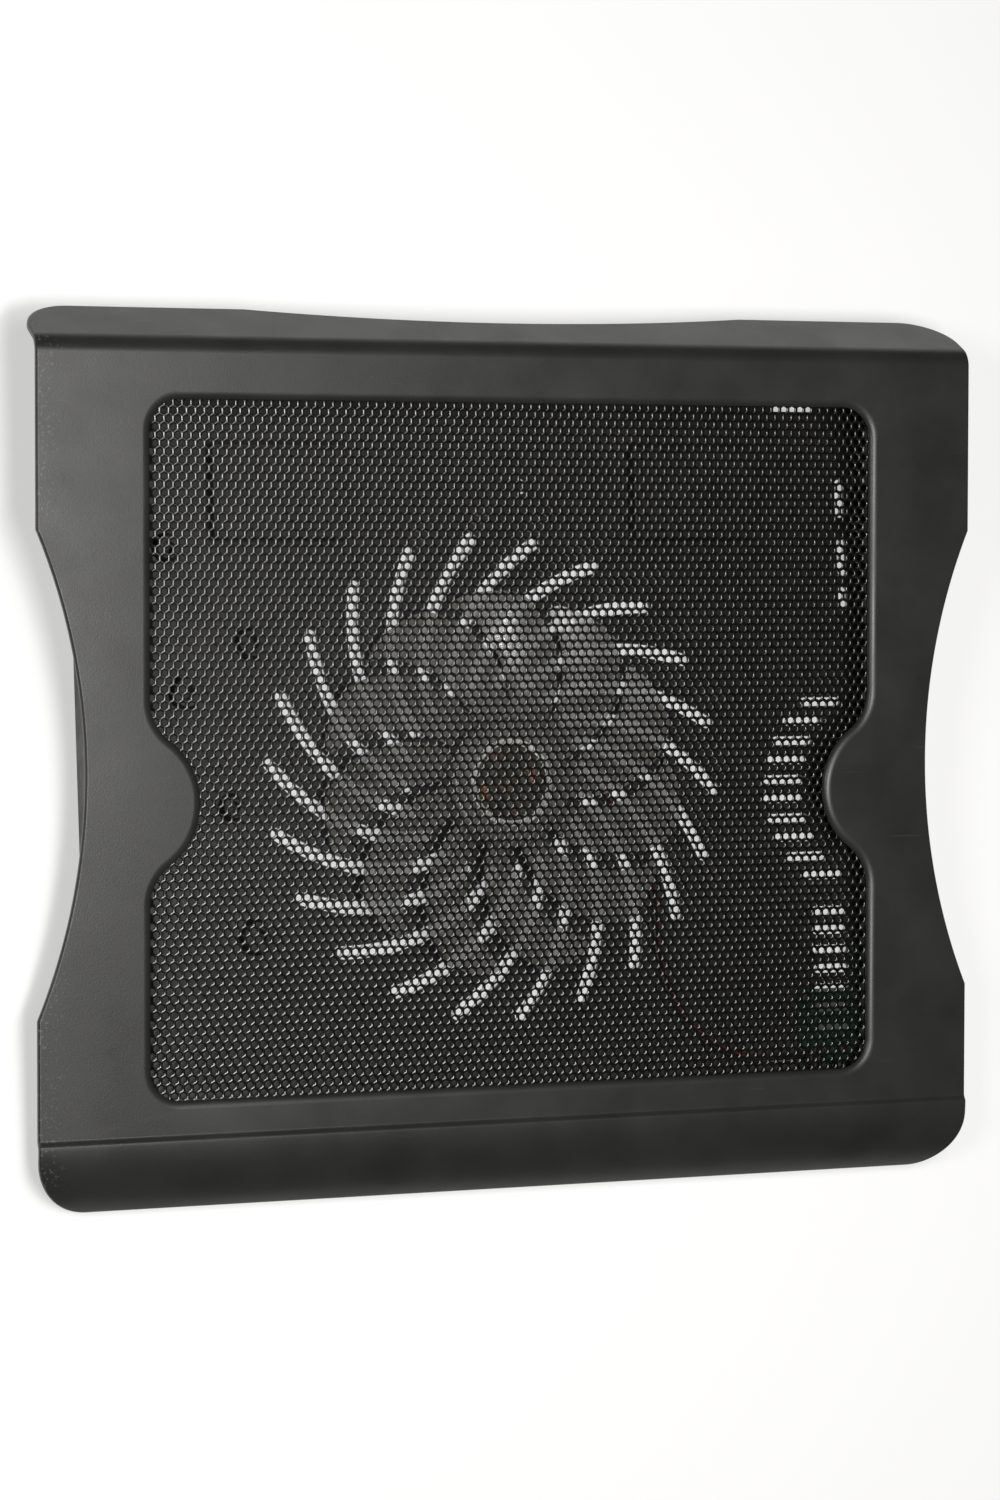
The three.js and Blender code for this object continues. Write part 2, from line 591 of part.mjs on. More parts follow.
// Four T-shaped poles on a ring.
function statorCore() {
  const { bottom, top, ring: middle, neck: half } = STATOR;
  let core = solid(disc(0, 0, middle, bottom, top));
  for (let k = 0; k < 4; k++) {
    const shoe = new THREE.Shape();
    shoe.absarc(0, 0, SHOE.outer, -SHOE.spread, SHOE.spread);
    shoe.absarc(0, 0, SHOE.inner, SHOE.spread, -SHOE.spread, true);
    const neck = solid(block(6, 15, -half, half, bottom, top).rotateZ((k * PI) / 2));
    core = core.add(neck).add(solid(prism(shoe, bottom, top, 2).rotateZ((k * PI) / 2)));
  }
  return core.subtract(solid(disc(0, 0, TUBE.outer + GAP, 0, 20)));
}

// Copper wound round one pole's neck.
function coil() {
  const outside = COIL;
  const hole = COIL_HOLE;
  const bundle = roundedRectangle(-outside.half, outside.half, outside.low, outside.high, outside.corner);
  bundle.holes.push(roundedRectangle(-hole.half, hole.half, hole.low, hole.high, hole.corner));
  return prismAlongX(bundle, outside.from, outside.to, 2);
}

// Red and black lead from the motor: along a rib of the swirl, then over to the control board.
function leadRoute(side) {
  const spread = LEAD.spread * side;
  const start = SWIRL.phase + ((LEAD.rib + 0.5) * 2 * PI) / SWIRL.slots;
  const low = FLOOR_TOP + GAP + LEAD.radius;
  const points = [new THREE.Vector3(17, FAN_Y - 2.4 + spread, low)];
  for (let radius = 34; radius <= 84; radius += 10) {
    const at = swirlPoint(radius, start);
    const ahead = swirlPoint(radius + 1, start);
    const length = hypot(ahead.x - at.x, ahead.y - at.y);
    const nx = (at.y - ahead.y) / length;
    const ny = (ahead.x - at.x) / length;
    points.push(new THREE.Vector3(at.x + spread * nx, at.y + spread * ny, low));
  }
  points.push(new THREE.Vector3(66 + spread * 0.8, -90 + spread * 0.6, low));
  points.push(new THREE.Vector3(86, -103.6 + spread, low));
  points.push(new THREE.Vector3(98, -105 + spread, low));
  points.push(new THREE.Vector3(105.5, -105 + spread, 8.4));
  points.push(new THREE.Vector3(110.3, -105 + spread, 9));
  return new THREE.CatmullRomCurve3(points, false, 'centripetal');
}

function lead(side) {
  const section = new THREE.Shape().absarc(0, 0, LEAD.radius, 0, 2 * PI);
  const options = { steps: 28, curveSegments: 4, extrudePath: leadRoute(side) };
  return new THREE.ExtrudeGeometry(section, options);
}

// ---------------------------------------------------------------- control board

function controlBoard() {
  const right = TRAY.half - WALL - GAP;
  const outline = new THREE.Shape([
    vector(BOARD.left, BOARD.front),
    vector(right - 6, BOARD.front),
    vector(right, BOARD.front + 6),
    vector(right, BOARD.tail),
    vector(BOARD.tailLeft, BOARD.tail),
    vector(BOARD.tailLeft, BOARD.rear),
    vector(BOARD.left, BOARD.rear),
  ]);
  for (const [x, y] of PEGS) {
    outline.holes.push(new THREE.Path().absarc(x, y, BOARD_PEG.radius + GAP, 0, 2 * PI));
  }
  return prism(outline, FLOOR_TOP + GAP, BOARD_TOP);
}

// A socket's metal shell, open outwards. Its frame has its origin on the board at the mouth.
function socketShell() {
  const { width, height, depth, wall } = SOCKET;
  const half = width / 2;
  const outside = solid(block(-depth, 0, -half, half, 0, height));
  const inside = block(-depth + wall, 1, -half + wall, half - wall, wall, height - wall);
  return outside.subtract(solid(inside));
}

// The plastic tongue with its root block, inside the shell.
function socketTongue() {
  const { width, height, depth, wall } = SOCKET;
  const half = width / 2 - wall - GAP;
  const back = -depth + wall + GAP;
  const top = height - wall - GAP;
  const root = solid(block(back, back + TONGUE.root, -half, half, wall + GAP, top));
  const tongue = block(back + 2, -TONGUE.setBack, -half + GAP, half - GAP, top - TONGUE.thickness, top);
  return root.add(solid(tongue));
}

// The switch's housing, with a channel open towards the wall.
function switchBody() {
  const { length, height, knob, travel, stub } = SWITCH;
  const housing = solid(block(-6, 0, -length / 2, length / 2, 0, height));
  const reach = (knob + travel) / 2 + GAP;
  const half = stub / 2 + GAP;
  const channel = block(-3.3, 1, -reach, reach, height / 2 - half, height / 2 + half);
  return housing.subtract(solid(channel));
}

// The knob: a slider in the channel and a ribbed stub through the wall's window, switched off.
function switchKnob() {
  const { knob, travel, stub, height } = SWITCH;
  const y = travel / 2;
  const z = height / 2;
  const slider = solid(block(-3, -0.6, y - knob / 2, y + knob / 2, z - stub / 2, z + stub / 2));
  const reach = WALL + GAP + 2;
  const stem = solid(block(-1, reach, y - stub / 2, y + stub / 2, z - stub / 2, z + stub / 2));
  return slider.add(stem);
}

// ---------------------------------------------------------------- assembly

const material = (color, roughness, metalness = 0) =>
  new THREE.MeshStandardMaterial({ color, roughness, metalness });
const FRAME_PLASTIC = material(0x3a3a38, 0.45);
const TRAY_PLASTIC = material(0x1c1c1d, 0.5);
const PANEL_STEEL = material(0x202020, 0.35, 0.6);
const SMOKE_PLASTIC = material(0x2b2d2f, 0.25);
const STEEL = material(0xb8bcc0, 0.3, 1);
const BRONZE = material(0xa8763e, 0.4, 1);
const FERRITE = material(0x2a2a2a, 0.7);
const COPPER = material(0xb0552a, 0.4, 1);
const CIRCUIT_GREEN = material(0x1f5a38, 0.5);
const RUBBER = material(0x141414, 0.9);
const BLACK_PLASTIC = material(0x111111, 0.5);
const WHITE_PLASTIC = material(0xd8d6cc, 0.5);
const RED_VINYL = material(0xa01818, 0.5);
const BLACK_VINYL = material(0x101010, 0.5);
const ZINC = material(0x8a8c8e, 0.4, 1);

// A named mesh of a geometry or a solid, in a parent group.
function part(parent, name, shape, finish, x = 0, y = 0, z = 0) {
  const geometry = shape.isBufferGeometry ? shape : geometryOf(shape);
  const mesh = new THREE.Mesh(geometry, finish);
  mesh.name = name;
  mesh.position.set(x, y, z);
  parent.add(mesh);
  return mesh;
}

function buildDeck(parent) {
  part(parent, 'top_frame', topFrame(), FRAME_PLASTIC);
  const deck = new THREE.Group();
  deck.applyMatrix4(deckMatrix);
  parent.add(deck);
  part(deck, 'mesh_panel', meshPanel(), PANEL_STEEL);
  clipPlaces().forEach(([x, y], i) => part(deck, `panel_clip_${i + 1}`, panelClip(), BLACK_PLASTIC, x, y));
}

function buildTray(parent) {
  part(parent, 'base_tray', baseTray(), TRAY_PLASTIC);
  screwPlaces().forEach(([x, y], i) => part(parent, `case_screw_${i + 1}`, caseScrew(), ZINC, x, y));
  FEET.forEach(([x, y], i) => part(parent, `rubber_foot_${i + 1}`, rubberFoot(), RUBBER, x, y));
}

function buildLegs(parent) {
  for (const [side, word] of [[-1, 'left'], [1, 'right']]) {
    const leg = new THREE.Group();
    leg.position.set(side * legMiddle(), LEG.hingeY, LEG.hingeZ);
    parent.add(leg);
    part(leg, `tilt_leg_${word}`, tiltLeg(), BLACK_PLASTIC);
    part(leg, `leg_pin_${word}`, pinGeometry(LEG.inner - 1.6, LEG.outer + 1.6, POCKET.pin), STEEL);
    part(leg, `leg_tip_${word}`, legTip(), RUBBER);
  }
}

function buildFan(parent) {
  const fan = new THREE.Group();
  fan.position.set(0, FAN_Y, 0);
  parent.add(fan);
  part(fan, 'fan_rotor', fanRotor(), SMOKE_PLASTIC);
  part(fan, 'rotor_yoke', rotorYoke(), STEEL);
  part(fan, 'ring_magnet', ring(MAGNET.inner, MAGNET.outer, MAGNET.bottom, MAGNET.top), FERRITE);
  part(fan, 'fan_shaft', disc(0, 0, SHAFT.radius, SHAFT.bottom, SHAFT.top), STEEL);
  const clip = ring(SHAFT.radius + GAP, SHAFT_CLIP.outer, SHAFT_CLIP.bottom, SHAFT_CLIP.top, FACETS);
  part(fan, 'shaft_clip', clip, STEEL);
  const bore = SHAFT.radius + SLEEVE.clearance;
  part(fan, 'bearing_sleeve', ring(bore, SLEEVE.outer, SLEEVE.bottom, SLEEVE.top, FACETS), BRONZE);
  part(fan, 'thrust_pad', disc(0, 0, THRUST.radius, THRUST.bottom, THRUST.top), WHITE_PLASTIC);
  const stator = new THREE.Group();
  stator.rotation.z = STATOR.turn;
  fan.add(stator);
  part(stator, 'stator_core', statorCore(), STEEL);
  for (let k = 0; k < 4; k++) {
    const wound = part(stator, `coil_${k + 1}`, coil(), COPPER);
    wound.rotation.z = (k * PI) / 2;
  }
  const disk = MOTOR_BOARD;
  part(stator, 'motor_board', ring(disk.inner, disk.outer, disk.bottom, disk.top), CIRCUIT_GREEN);
  part(parent, 'lead_red', lead(1), RED_VINYL);
  part(parent, 'lead_black', lead(-1), BLACK_VINYL);
}

function buildBoard(parent) {
  const top = BOARD_TOP + GAP;
  part(parent, 'control_board', controlBoard(), CIRCUIT_GREEN);
  SOCKET.y.forEach((y, i) => {
    part(parent, `usb_shell_${i + 1}`, socketShell(), STEEL, TRAY.half, y, top);
    part(parent, `usb_tongue_${i + 1}`, socketTongue(), WHITE_PLASTIC, TRAY.half, y, top);
  });
  const behindWall = TRAY.half - WALL - GAP;
  part(parent, 'switch_body', switchBody(), BLACK_PLASTIC, behindWall, SWITCH.y, top);
  part(parent, 'switch_knob', switchKnob(), BLACK_PLASTIC, behindWall, SWITCH.y, top);
  const { left, right, front, rear, height } = CONNECTOR;
  part(parent, 'lead_connector', block(left, right, front, rear, top, top + height), BLACK_PLASTIC);
  const can = CAPACITOR;
  part(parent, 'capacitor', disc(can.x, can.y, can.radius, top, top + can.height), BLACK_PLASTIC);
}

const pad = new THREE.Group();
buildDeck(pad);
buildTray(pad);
buildLegs(pad);
buildFan(pad);
buildBoard(pad);

// The reference point is the middle of the pad's outline, on the surface that it stands on.
const extent = new THREE.Box3().setFromObject(pad);
pad.position.y = -(extent.min.y + extent.max.y) / 2;

export default pad;
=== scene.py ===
"""The looks of a laptop cooling pad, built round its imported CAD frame.

Shapes are in millimetres in the tray's own frame, which is the row frame before it is centred, and
the function show() turns them into pieces in metres in the row frame.
"""
import json
from math import asin, atan, atan2, ceil, cos, hypot, pi, radians, sin, sqrt, tan

import bmesh
import bpy
import numpy as np
from mathutils import Matrix, Vector
from mathutils.geometry import delaunay_2d_cdt


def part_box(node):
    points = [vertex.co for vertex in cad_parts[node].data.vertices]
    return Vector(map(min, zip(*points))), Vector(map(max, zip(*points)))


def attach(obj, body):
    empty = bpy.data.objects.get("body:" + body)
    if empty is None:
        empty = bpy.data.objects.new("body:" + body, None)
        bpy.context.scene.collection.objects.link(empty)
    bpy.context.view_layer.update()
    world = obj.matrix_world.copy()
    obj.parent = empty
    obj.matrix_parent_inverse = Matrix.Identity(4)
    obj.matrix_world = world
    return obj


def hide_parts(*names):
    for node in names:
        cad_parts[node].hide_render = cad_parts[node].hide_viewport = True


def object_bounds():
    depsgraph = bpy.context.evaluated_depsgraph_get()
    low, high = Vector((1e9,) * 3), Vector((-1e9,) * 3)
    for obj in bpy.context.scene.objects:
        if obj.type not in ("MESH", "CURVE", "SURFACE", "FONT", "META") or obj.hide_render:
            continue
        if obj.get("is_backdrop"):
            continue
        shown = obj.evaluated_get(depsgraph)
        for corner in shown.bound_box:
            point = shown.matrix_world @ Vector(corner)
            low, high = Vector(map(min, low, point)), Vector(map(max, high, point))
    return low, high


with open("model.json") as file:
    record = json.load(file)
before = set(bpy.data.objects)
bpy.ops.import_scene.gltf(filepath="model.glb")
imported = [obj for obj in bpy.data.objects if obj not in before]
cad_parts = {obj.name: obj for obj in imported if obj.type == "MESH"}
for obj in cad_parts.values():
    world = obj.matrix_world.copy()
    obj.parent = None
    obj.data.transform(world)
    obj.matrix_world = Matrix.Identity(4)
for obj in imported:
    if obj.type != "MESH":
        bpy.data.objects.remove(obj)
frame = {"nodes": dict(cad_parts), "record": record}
CAD_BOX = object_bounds()
MM = 0.001
RECORD = frame["record"]
BODY = {node: body for body, nodes in RECORD["behaviour"]["bodies"].items() for node in nodes}
SLOT = {entry["node"]: entry["material_slot"] for entry in RECORD["subparts"]}

# The row frame is the tray's frame moved along Y, and the tray's front wall says by how much.
TRAY = {"half": 147.3, "front": -130, "rear": 128, "corner": 16}
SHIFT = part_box("base_tray")[0].y / MM - TRAY["front"]
DECK_MOUNT = next(mount for mount in RECORD["mounts"] if mount["name"] == "deck")
TILT = atan2(-DECK_MOUNT["axis"][1], DECK_MOUNT["axis"][2])
DECK_HEIGHT = (DECK_MOUNT["pos_m"][2] - (DECK_MOUNT["pos_m"][1] - SHIFT * MM) * tan(TILT)) / MM
FAN_LOW, FAN_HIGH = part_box("fan_shaft")
FAN_Y = (FAN_LOW.y + FAN_HIGH.y) / 2 / MM - SHIFT

# Deck, in its own frame: y up the slope, z square to the surface
SHEET = 2.4
EDGE_ROUND = 0.85
OPENING_ROLL = (2.9, 1.6)
HALF_WIDTH = 167.7
WAIST = {"half": 151.6, "front": -82, "rear": 75.5}
LIP = {"edge": -146, "drop": 8.5, "ridge_y": -123, "ridge": 1.1, "groove_y": -120.6, "corner": 18.5}
BEND = {"y": 132.2, "radius": 7}
RISER = {"angle": radians(63), "drop": 23, "corner": 17, "arch_half": 90, "arch_depth": 7}
OPENING = {"half": 129.5, "front": -109.8, "rear": 117.6, "corner": 10}
BUMP = {"y": -13, "reach": 112.4, "radius": 25, "fillet": 16}
GAP = 0.3
PANEL = {"thickness": 0.8, "flange": 5.8, "corner": 10, "top": -SHEET - GAP}
PANEL_BOTTOM = PANEL["top"] - PANEL["thickness"]
HOLE = {"pitch": 3.06, "web": 1.0, "roll": 0.24, "clearance": 2.3, "overlap": 0.4}
CLIP = {"stud": 1, "washer": 2.6, "height": 0.8, "inset": 2.9, "stud_top": -1.2}

# Tray
FLOOR_TOP = 5
FLOOR_BOTTOM = 2.8
WALL = 2.2
SCREW = {"head": 2.7, "shank": 1, "top": 13.2, "boss": 4.6, "boss_top": 9, "post": 3.2}
SIDE_SCREWS = {"x": 141.6, "y": (-56, 20, 96)}
FRONT_SCREWS = {"x": 88, "y": -124.2}
FOOT = {"radius": 9, "height": 2.5, "peg": 2, "peg_top": 4.6}
FEET = ((-131, 112), (131, 112), (-118, -114), (118, -114))
SWIRL = {"y": -5.7, "slots": 22, "inner": 32.5, "outer": 81, "width": 4.5, "phase": radians(12.5)}
SLOT_PITCH = 6.71
SLOT_WIDTH = 3
BEND_COLUMN = {"x": 137.8, "y": -12.4, "radius": 38, "length": 12.5, "top": 18.25, "slots": 10}
STRAIGHT_COLUMN = {"left": 118.2, "right": 128.6, "top": -54.5, "slots": 7}
WALL_LINE = {"x": 133.5, "width": 3.5, "ends": ((51.8, 56.6), (63.7, 73.7), (84.3, 94.3))}
REAR_SLOT = {"left": 109.3, "right": 123.4, "y": 120.6, "width": 2}
KEYHOLE = {"x": 13, "y": 93, "radius": 2.2, "width": 0.8, "opening": radians(70)}
SOCKETS = ((-87, 40, 4.6), (-110, 24, 5), (-95, -14, 4), (-115, 72, 4.2), (-88, -57, 5.4))
LEG = {"inner": 55, "outer": 97, "hinge_y": 80.5, "hinge_z": 6.2}
POCKET = {"front": 76, "rear": 104.6, "roof": 9.2, "wall": 1.8, "pin": 1.5}

# Fan
BLADES = 11
HUB = {"radius": 22, "wall": 1.8, "bottom": 7.2, "top": 18.4, "roof": 1.6, "boss": 3.2, "boss_bottom": 14.8}
HUB_RECESS = {"radius": 13.8, "slope": 0.6, "depth": 0.4}
BLADE = {"tip": 65, "bottom": 7.4, "top": 15.4, "sweep": radians(27), "chord": radians(26.5)}
WINDOW = {"inset": 0.5, "bead": 2.0, "bead_height": 0.4}
SHAFT = {"radius": 1.5, "bottom": 5.6, "top": 16.9}
TUBE = {"outer": 5.2, "inner": 3.4, "top": 14.4, "floor": 3.8}
YOKE = {"inner": 19, "outer": 19.9, "roof": 0.8, "mouth": 13.9}
THRUST_RADIUS = 3
# Inner and outer radius of each plain ring, the rounding of its edges and its number of sides
RINGS = {
    "ring_magnet": (17, 18.7, 0.25, 96),
    "shaft_clip": (SHAFT["radius"] + GAP, 2.9, 0.1, 48),
    "bearing_sleeve": (SHAFT["radius"] + 0.1, 3.1, 0.3, 64),
    "motor_board": (5.6, 16.5, 0.12, 96),
}
STATOR_TURN = radians(17)
COIL = {"low": 7.9, "high": 11.2, "inner_half": 2.62, "inner_height": 2.9, "middle": 11, "wire": 0.27}

# Board
BOARD_TOP = FLOOR_TOP + GAP + 1.6
PEGS = ((112, -84.5), (126, -102.6))
SOCKET = {"width": 13.1, "height": 5.7, "y": (-104.5, -89.8)}
SWITCH = {"y": -72, "travel": 2.4, "height": 5.4, "stub": 2.6}

DECK = Matrix.Translation((0, 0, DECK_HEIGHT)) @ Matrix.Rotation(TILT, 4, "X")


# ---------------------------------------------------------------- shapes
# A shape is (points, faces): a list of 3-D points and a list of tuples of their indices.

def joined(*shapes):
    """Several shapes as one."""
    points, faces = [], []
    for some_points, some_faces in shapes:
        start = len(points)
        points += [tuple(p) for p in some_points]
        faces += [tuple(start + i for i in face) for face in some_faces]
    return points, faces


def moved(shape, matrix):
    points, faces = shape
    return [tuple(matrix @ Vector(p)) for p in points], faces


def shifted(shape, x=0, y=0, z=0):
    return moved(shape, Matrix.Translation((x, y, z)))


def arc(x, y, radius, start, end, steps):
    angles = [start + (end - start) * k / steps for k in range(steps + 1)]
    return [(x + radius * cos(a), y + radius * sin(a)) for a in angles]


def rounded_rectangle(x0, x1, y0, y1, radius, steps=10):
    return (
        arc(x1 - radius, y0 + radius, radius, -pi / 2, 0, steps)
        + arc(x1 - radius, y1 - radius, radius, 0, pi / 2, steps)
        + arc(x0 + radius, y1 - radius, radius, pi / 2, pi, steps)
        + arc(x0 + radius, y0 + radius, radius, pi, 1.5 * pi, steps)
    )


def rounded(points, radius, closed=False, steps=3):
    """A line of 2-D points with its corners rounded."""
    out = []
    count = len(points)
    for i, corner in enumerate(points):
        if not closed and i in (0, count - 1):
            out.append(tuple(corner))
            continue
        here, before, after = Vector(corner), Vector(points[i - 1]), Vector(points[(i + 1) % count])
        back, ahead = (before - here).length, (after - here).length
        cut = min(radius, 0.45 * back, 0.45 * ahead)
        start = here + (before - here) * cut / back
        end = here + (after - here) * cut / ahead
        for k in range(steps + 1):
            t = k / steps
            out.append(tuple(start * (1 - t) ** 2 + here * 2 * t * (1 - t) + end * t * t))
    return out


def band(low, high, count):
    """The faces between two rings of points, given the first index of each."""
    return [(low + i, low + (i + 1) % count, high + (i + 1) % count, high + i) for i in range(count)]


def loft(rings):
    """A closed body through rings of equal count, each a list of 3-D points, with flat ends."""
    count = len(rings[0])
    points = [p for ring in rings for p in ring]
    faces = [tuple(range(count))[::-1]]
    for level in range(len(rings) - 1):
        faces += band(level * count, (level + 1) * count, count)
    top = (len(rings) - 1) * count
    faces.append(tuple(range(top, top + count)))
    return points, faces


def prism(outline, z0, z1):
    return loft([[(x, y, z0) for x, y in outline], [(x, y, z1) for x, y in outline]])


def block(x0, x1, y0, y1, z0, z1):
    return prism([(x0, y0), (x1, y0), (x1, y1), (x0, y1)], z0, z1)


def lathe(profile, sides=64):
    """A turned part about Z from [radius, height] points, on the axis at both ends, from the bottom."""
    points, rings = [], []
    for radius, height in profile:
        start = len(points)
        if radius < 1e-6:
            points.append((0, 0, height))
            rings.append([start] * sides)
            continue
        for k in range(sides):
            angle = 2 * pi * k / sides
            points.append((radius * cos(angle), radius * sin(angle), height))
        rings.append(list(range(start, start + sides)))
    faces = []
    for low, high in zip(rings, rings[1:]):
        for k in range(sides):
            n = (k + 1) % sides
            face = []
            for index in (low[k], low[n], high[n], high[k]):
                if index not in face:
                    face.append(index)
            if len(face) > 2:
                faces.append(tuple(face))
    return points, faces


def turned(profile, radius=0.25, sides=64):
    """A turned part whose profile's corners are rounded."""
    return lathe(rounded(profile, radius), sides)


def turned_ring(profile, radius=0.15, sides=72):
    """A ring about Z from a closed profile, given anticlockwise in [radius, height]."""
    line = rounded(profile, radius, closed=True)
    count = len(line)
    points, faces = [], []
    for k in range(sides):
        angle = 2 * pi * k / sides
        points += [(r * cos(angle), r * sin(angle), z) for r, z in line]
        faces += band(((k + 1) % sides) * count, k * count, count)
    return points, faces


def box_profile(inner, outer, z0, z1):
    return [(inner, z0), (outer, z0), (outer, z1), (inner, z1)]


def mesh_of(shape, name="scratch"):
    mesh = bpy.data.meshes.new(name)
    points, faces = shape
    mesh.from_pydata(points, [], faces)
    mesh.update()
    return mesh


def shape_of(mesh):
    return [tuple(v.co) for v in mesh.vertices], [tuple(p.vertices) for p in mesh.polygons]


def combined(shape, other, operation):
    """Two closed shapes joined (UNION), cut (DIFFERENCE) or crossed (INTERSECT)."""
    objects = [bpy.data.objects.new("scratch", mesh_of(s)) for s in (shape, other)]
    for item in objects:
        bpy.context.scene.collection.objects.link(item)
    boolean = objects[0].modifiers.new("cut", "BOOLEAN")
    boolean.operation = operation
    boolean.object = objects[1]
    boolean.solver = "MANIFOLD"
    bpy.context.view_layer.update()
    graph = bpy.context.evaluated_depsgraph_get()
    result = bpy.data.meshes.new_from_object(objects[0].evaluated_get(graph), depsgraph=graph)
    out = shape_of(result)
    for item in objects:
        mesh = item.data
        bpy.data.objects.remove(item)
        bpy.data.meshes.remove(mesh)
    bpy.data.meshes.remove(result)
    if not out[1]:
        raise RuntimeError(f"{operation} left nothing")
    return out


def edited(shape, edit):
    """The shape after an edit of its bmesh."""
    mesh = mesh_of(shape)
    bm = bmesh.new()
    bm.from_mesh(mesh)
    edit(bm)
    bm.to_mesh(mesh)
    bm.free()
    out = shape_of(mesh)
    bpy.data.meshes.remove(mesh)
    return out


def softened(shape, width, segments):
    """The shape with its sharp edges bevelled."""
    def bevel(bm):
        bmesh.ops.remove_doubles(bm, verts=bm.verts, dist=1e-4)
        bmesh.ops.dissolve_limit(bm, angle_limit=radians(1), verts=bm.verts, edges=bm.edges)
        sharp = [e for e in bm.edges if e.is_manifold and e.calc_face_angle() > radians(30)]
        bmesh.ops.bevel(
            bm, geom=sharp, offset=width, segments=segments, profile=0.5, affect="EDGES", clamp_overlap=True
        )

    return edited(shape, bevel)


def inside(points, loop):
    """Which of the 2-D points lie inside the loop."""
    x, y = points[:, 0:1], points[:, 1:2]
    a = np.array(loop, float)
    b = np.roll(a, -1, axis=0)
    crosses = (a[:, 1] > y) != (b[:, 1] > y)
    rise = np.where(b[:, 1] == a[:, 1], 1e-12, b[:, 1] - a[:, 1])
    at = a[:, 0] + (y - a[:, 1]) * (b[:, 0] - a[:, 0]) / rise
    return (np.sum(crosses & (x < at), axis=1) % 2).astype(bool)


def filled(loops, lines=()):
    """2-D points and triangles over the area inside the first loop and outside the others."""
    points, edges = [], []
    for loop in loops:
        start = len(points)
        points += [Vector(p[:2]) for p in loop]
        edges += [(start + i, start + (i + 1) % len(loop)) for i in range(len(loop))]
    for a, b in lines:
        edges.append((len(points), len(points) + 1))
        points += [Vector(a), Vector(b)]
    made = delaunay_2d_cdt(points, edges, [], 0, 1e-5)
    found = np.array([tuple(v) for v in made[0]], float)
    triangles = np.array([tuple(f) for f in made[2]], int)
    middles = found[triangles].mean(axis=1)
    kept = inside(middles, loops[0])
    for loop in loops[1:]:
        kept &= ~inside(middles, loop)
    return found, triangles[kept]


def border_of(faces):
    """The directed edges that only one face has."""
    directed = {(int(f[i]), int(f[(i + 1) % len(f)])) for f in faces for i in range(len(f))}
    return [(a, b) for a, b in directed if (b, a) not in directed]


def outward_of(points, border):
    """For each point on the border, the 2-D direction out of the material."""
    total = {}
    for a, b in border:
        run = points[b] - points[a]
        length = hypot(*run)
        if length < 1e-9:
            continue
        out = np.array((run[1], -run[0])) / length
        for i in (a, b):
            total.setdefault(i, []).append(out)
    result = {}
    for i, outs in total.items():
        mean = np.mean(outs, axis=0)
        result[i] = mean / max(np.dot(mean, mean), 0.25)
    return result


def plate(loops, lines, thickness, edge, roll, surface):
    """A plate with rounded edges: loops are its outline and its holes in the surface's own (u, v), and
    surface(u, v, n) gives the 3-D point n above it. The top turns down into the holes over the width
    and depth in roll."""
    points, triangles = filled(loops, lines)
    border = border_of(triangles)
    outward = outward_of(points, border)
    used = sorted({int(i) for t in triangles for i in t})
    hole_points = np.array([point for loop in loops[1:] for point in loop])
    turns = [radians(a) for a in (22, 45, 68, 90)]
    out_points, index = [], {}

    def upper_edge(i):
        in_hole = np.hypot(*(hole_points - points[i]).T).min() < 0.01
        return roll if in_hole else (edge, edge)

    def add(key, u, v, n):
        index[key] = len(out_points)
        out_points.append(surface(u, v, n))

    for i in used:
        direction = outward.get(i, np.zeros(2))
        width, depth = upper_edge(i)
        levels = [(width * (sin(a) - 1), depth * (cos(a) - 1)) for a in turns]
        levels += [(edge * (sin(a) - 1), edge * (1 - cos(a)) - thickness) for a in reversed(turns)]
        add(("top", i), *(points[i] - direction * width), 0)
        add(("bottom", i), *(points[i] - direction * edge), -thickness)
        if i in outward:
            for level, (out, n) in enumerate(levels):
                add((level, i), *(points[i] + direction * out), n)
    faces = []
    for t in triangles:
        faces.append(tuple(index["top", int(i)] for i in t))
        faces.append(tuple(index["bottom", int(i)] for i in reversed(t)))
    steps = ["top", *range(2 * len(turns)), "bottom"]
    for a, b in border:
        for upper, lower in zip(steps, steps[1:]):
            faces.append((index[lower, a], index[lower, b], index[upper, b], index[upper, a]))
    return out_points, faces


# ---------------------------------------------------------------- materials

MIDDLE = (0.35, 0.65)


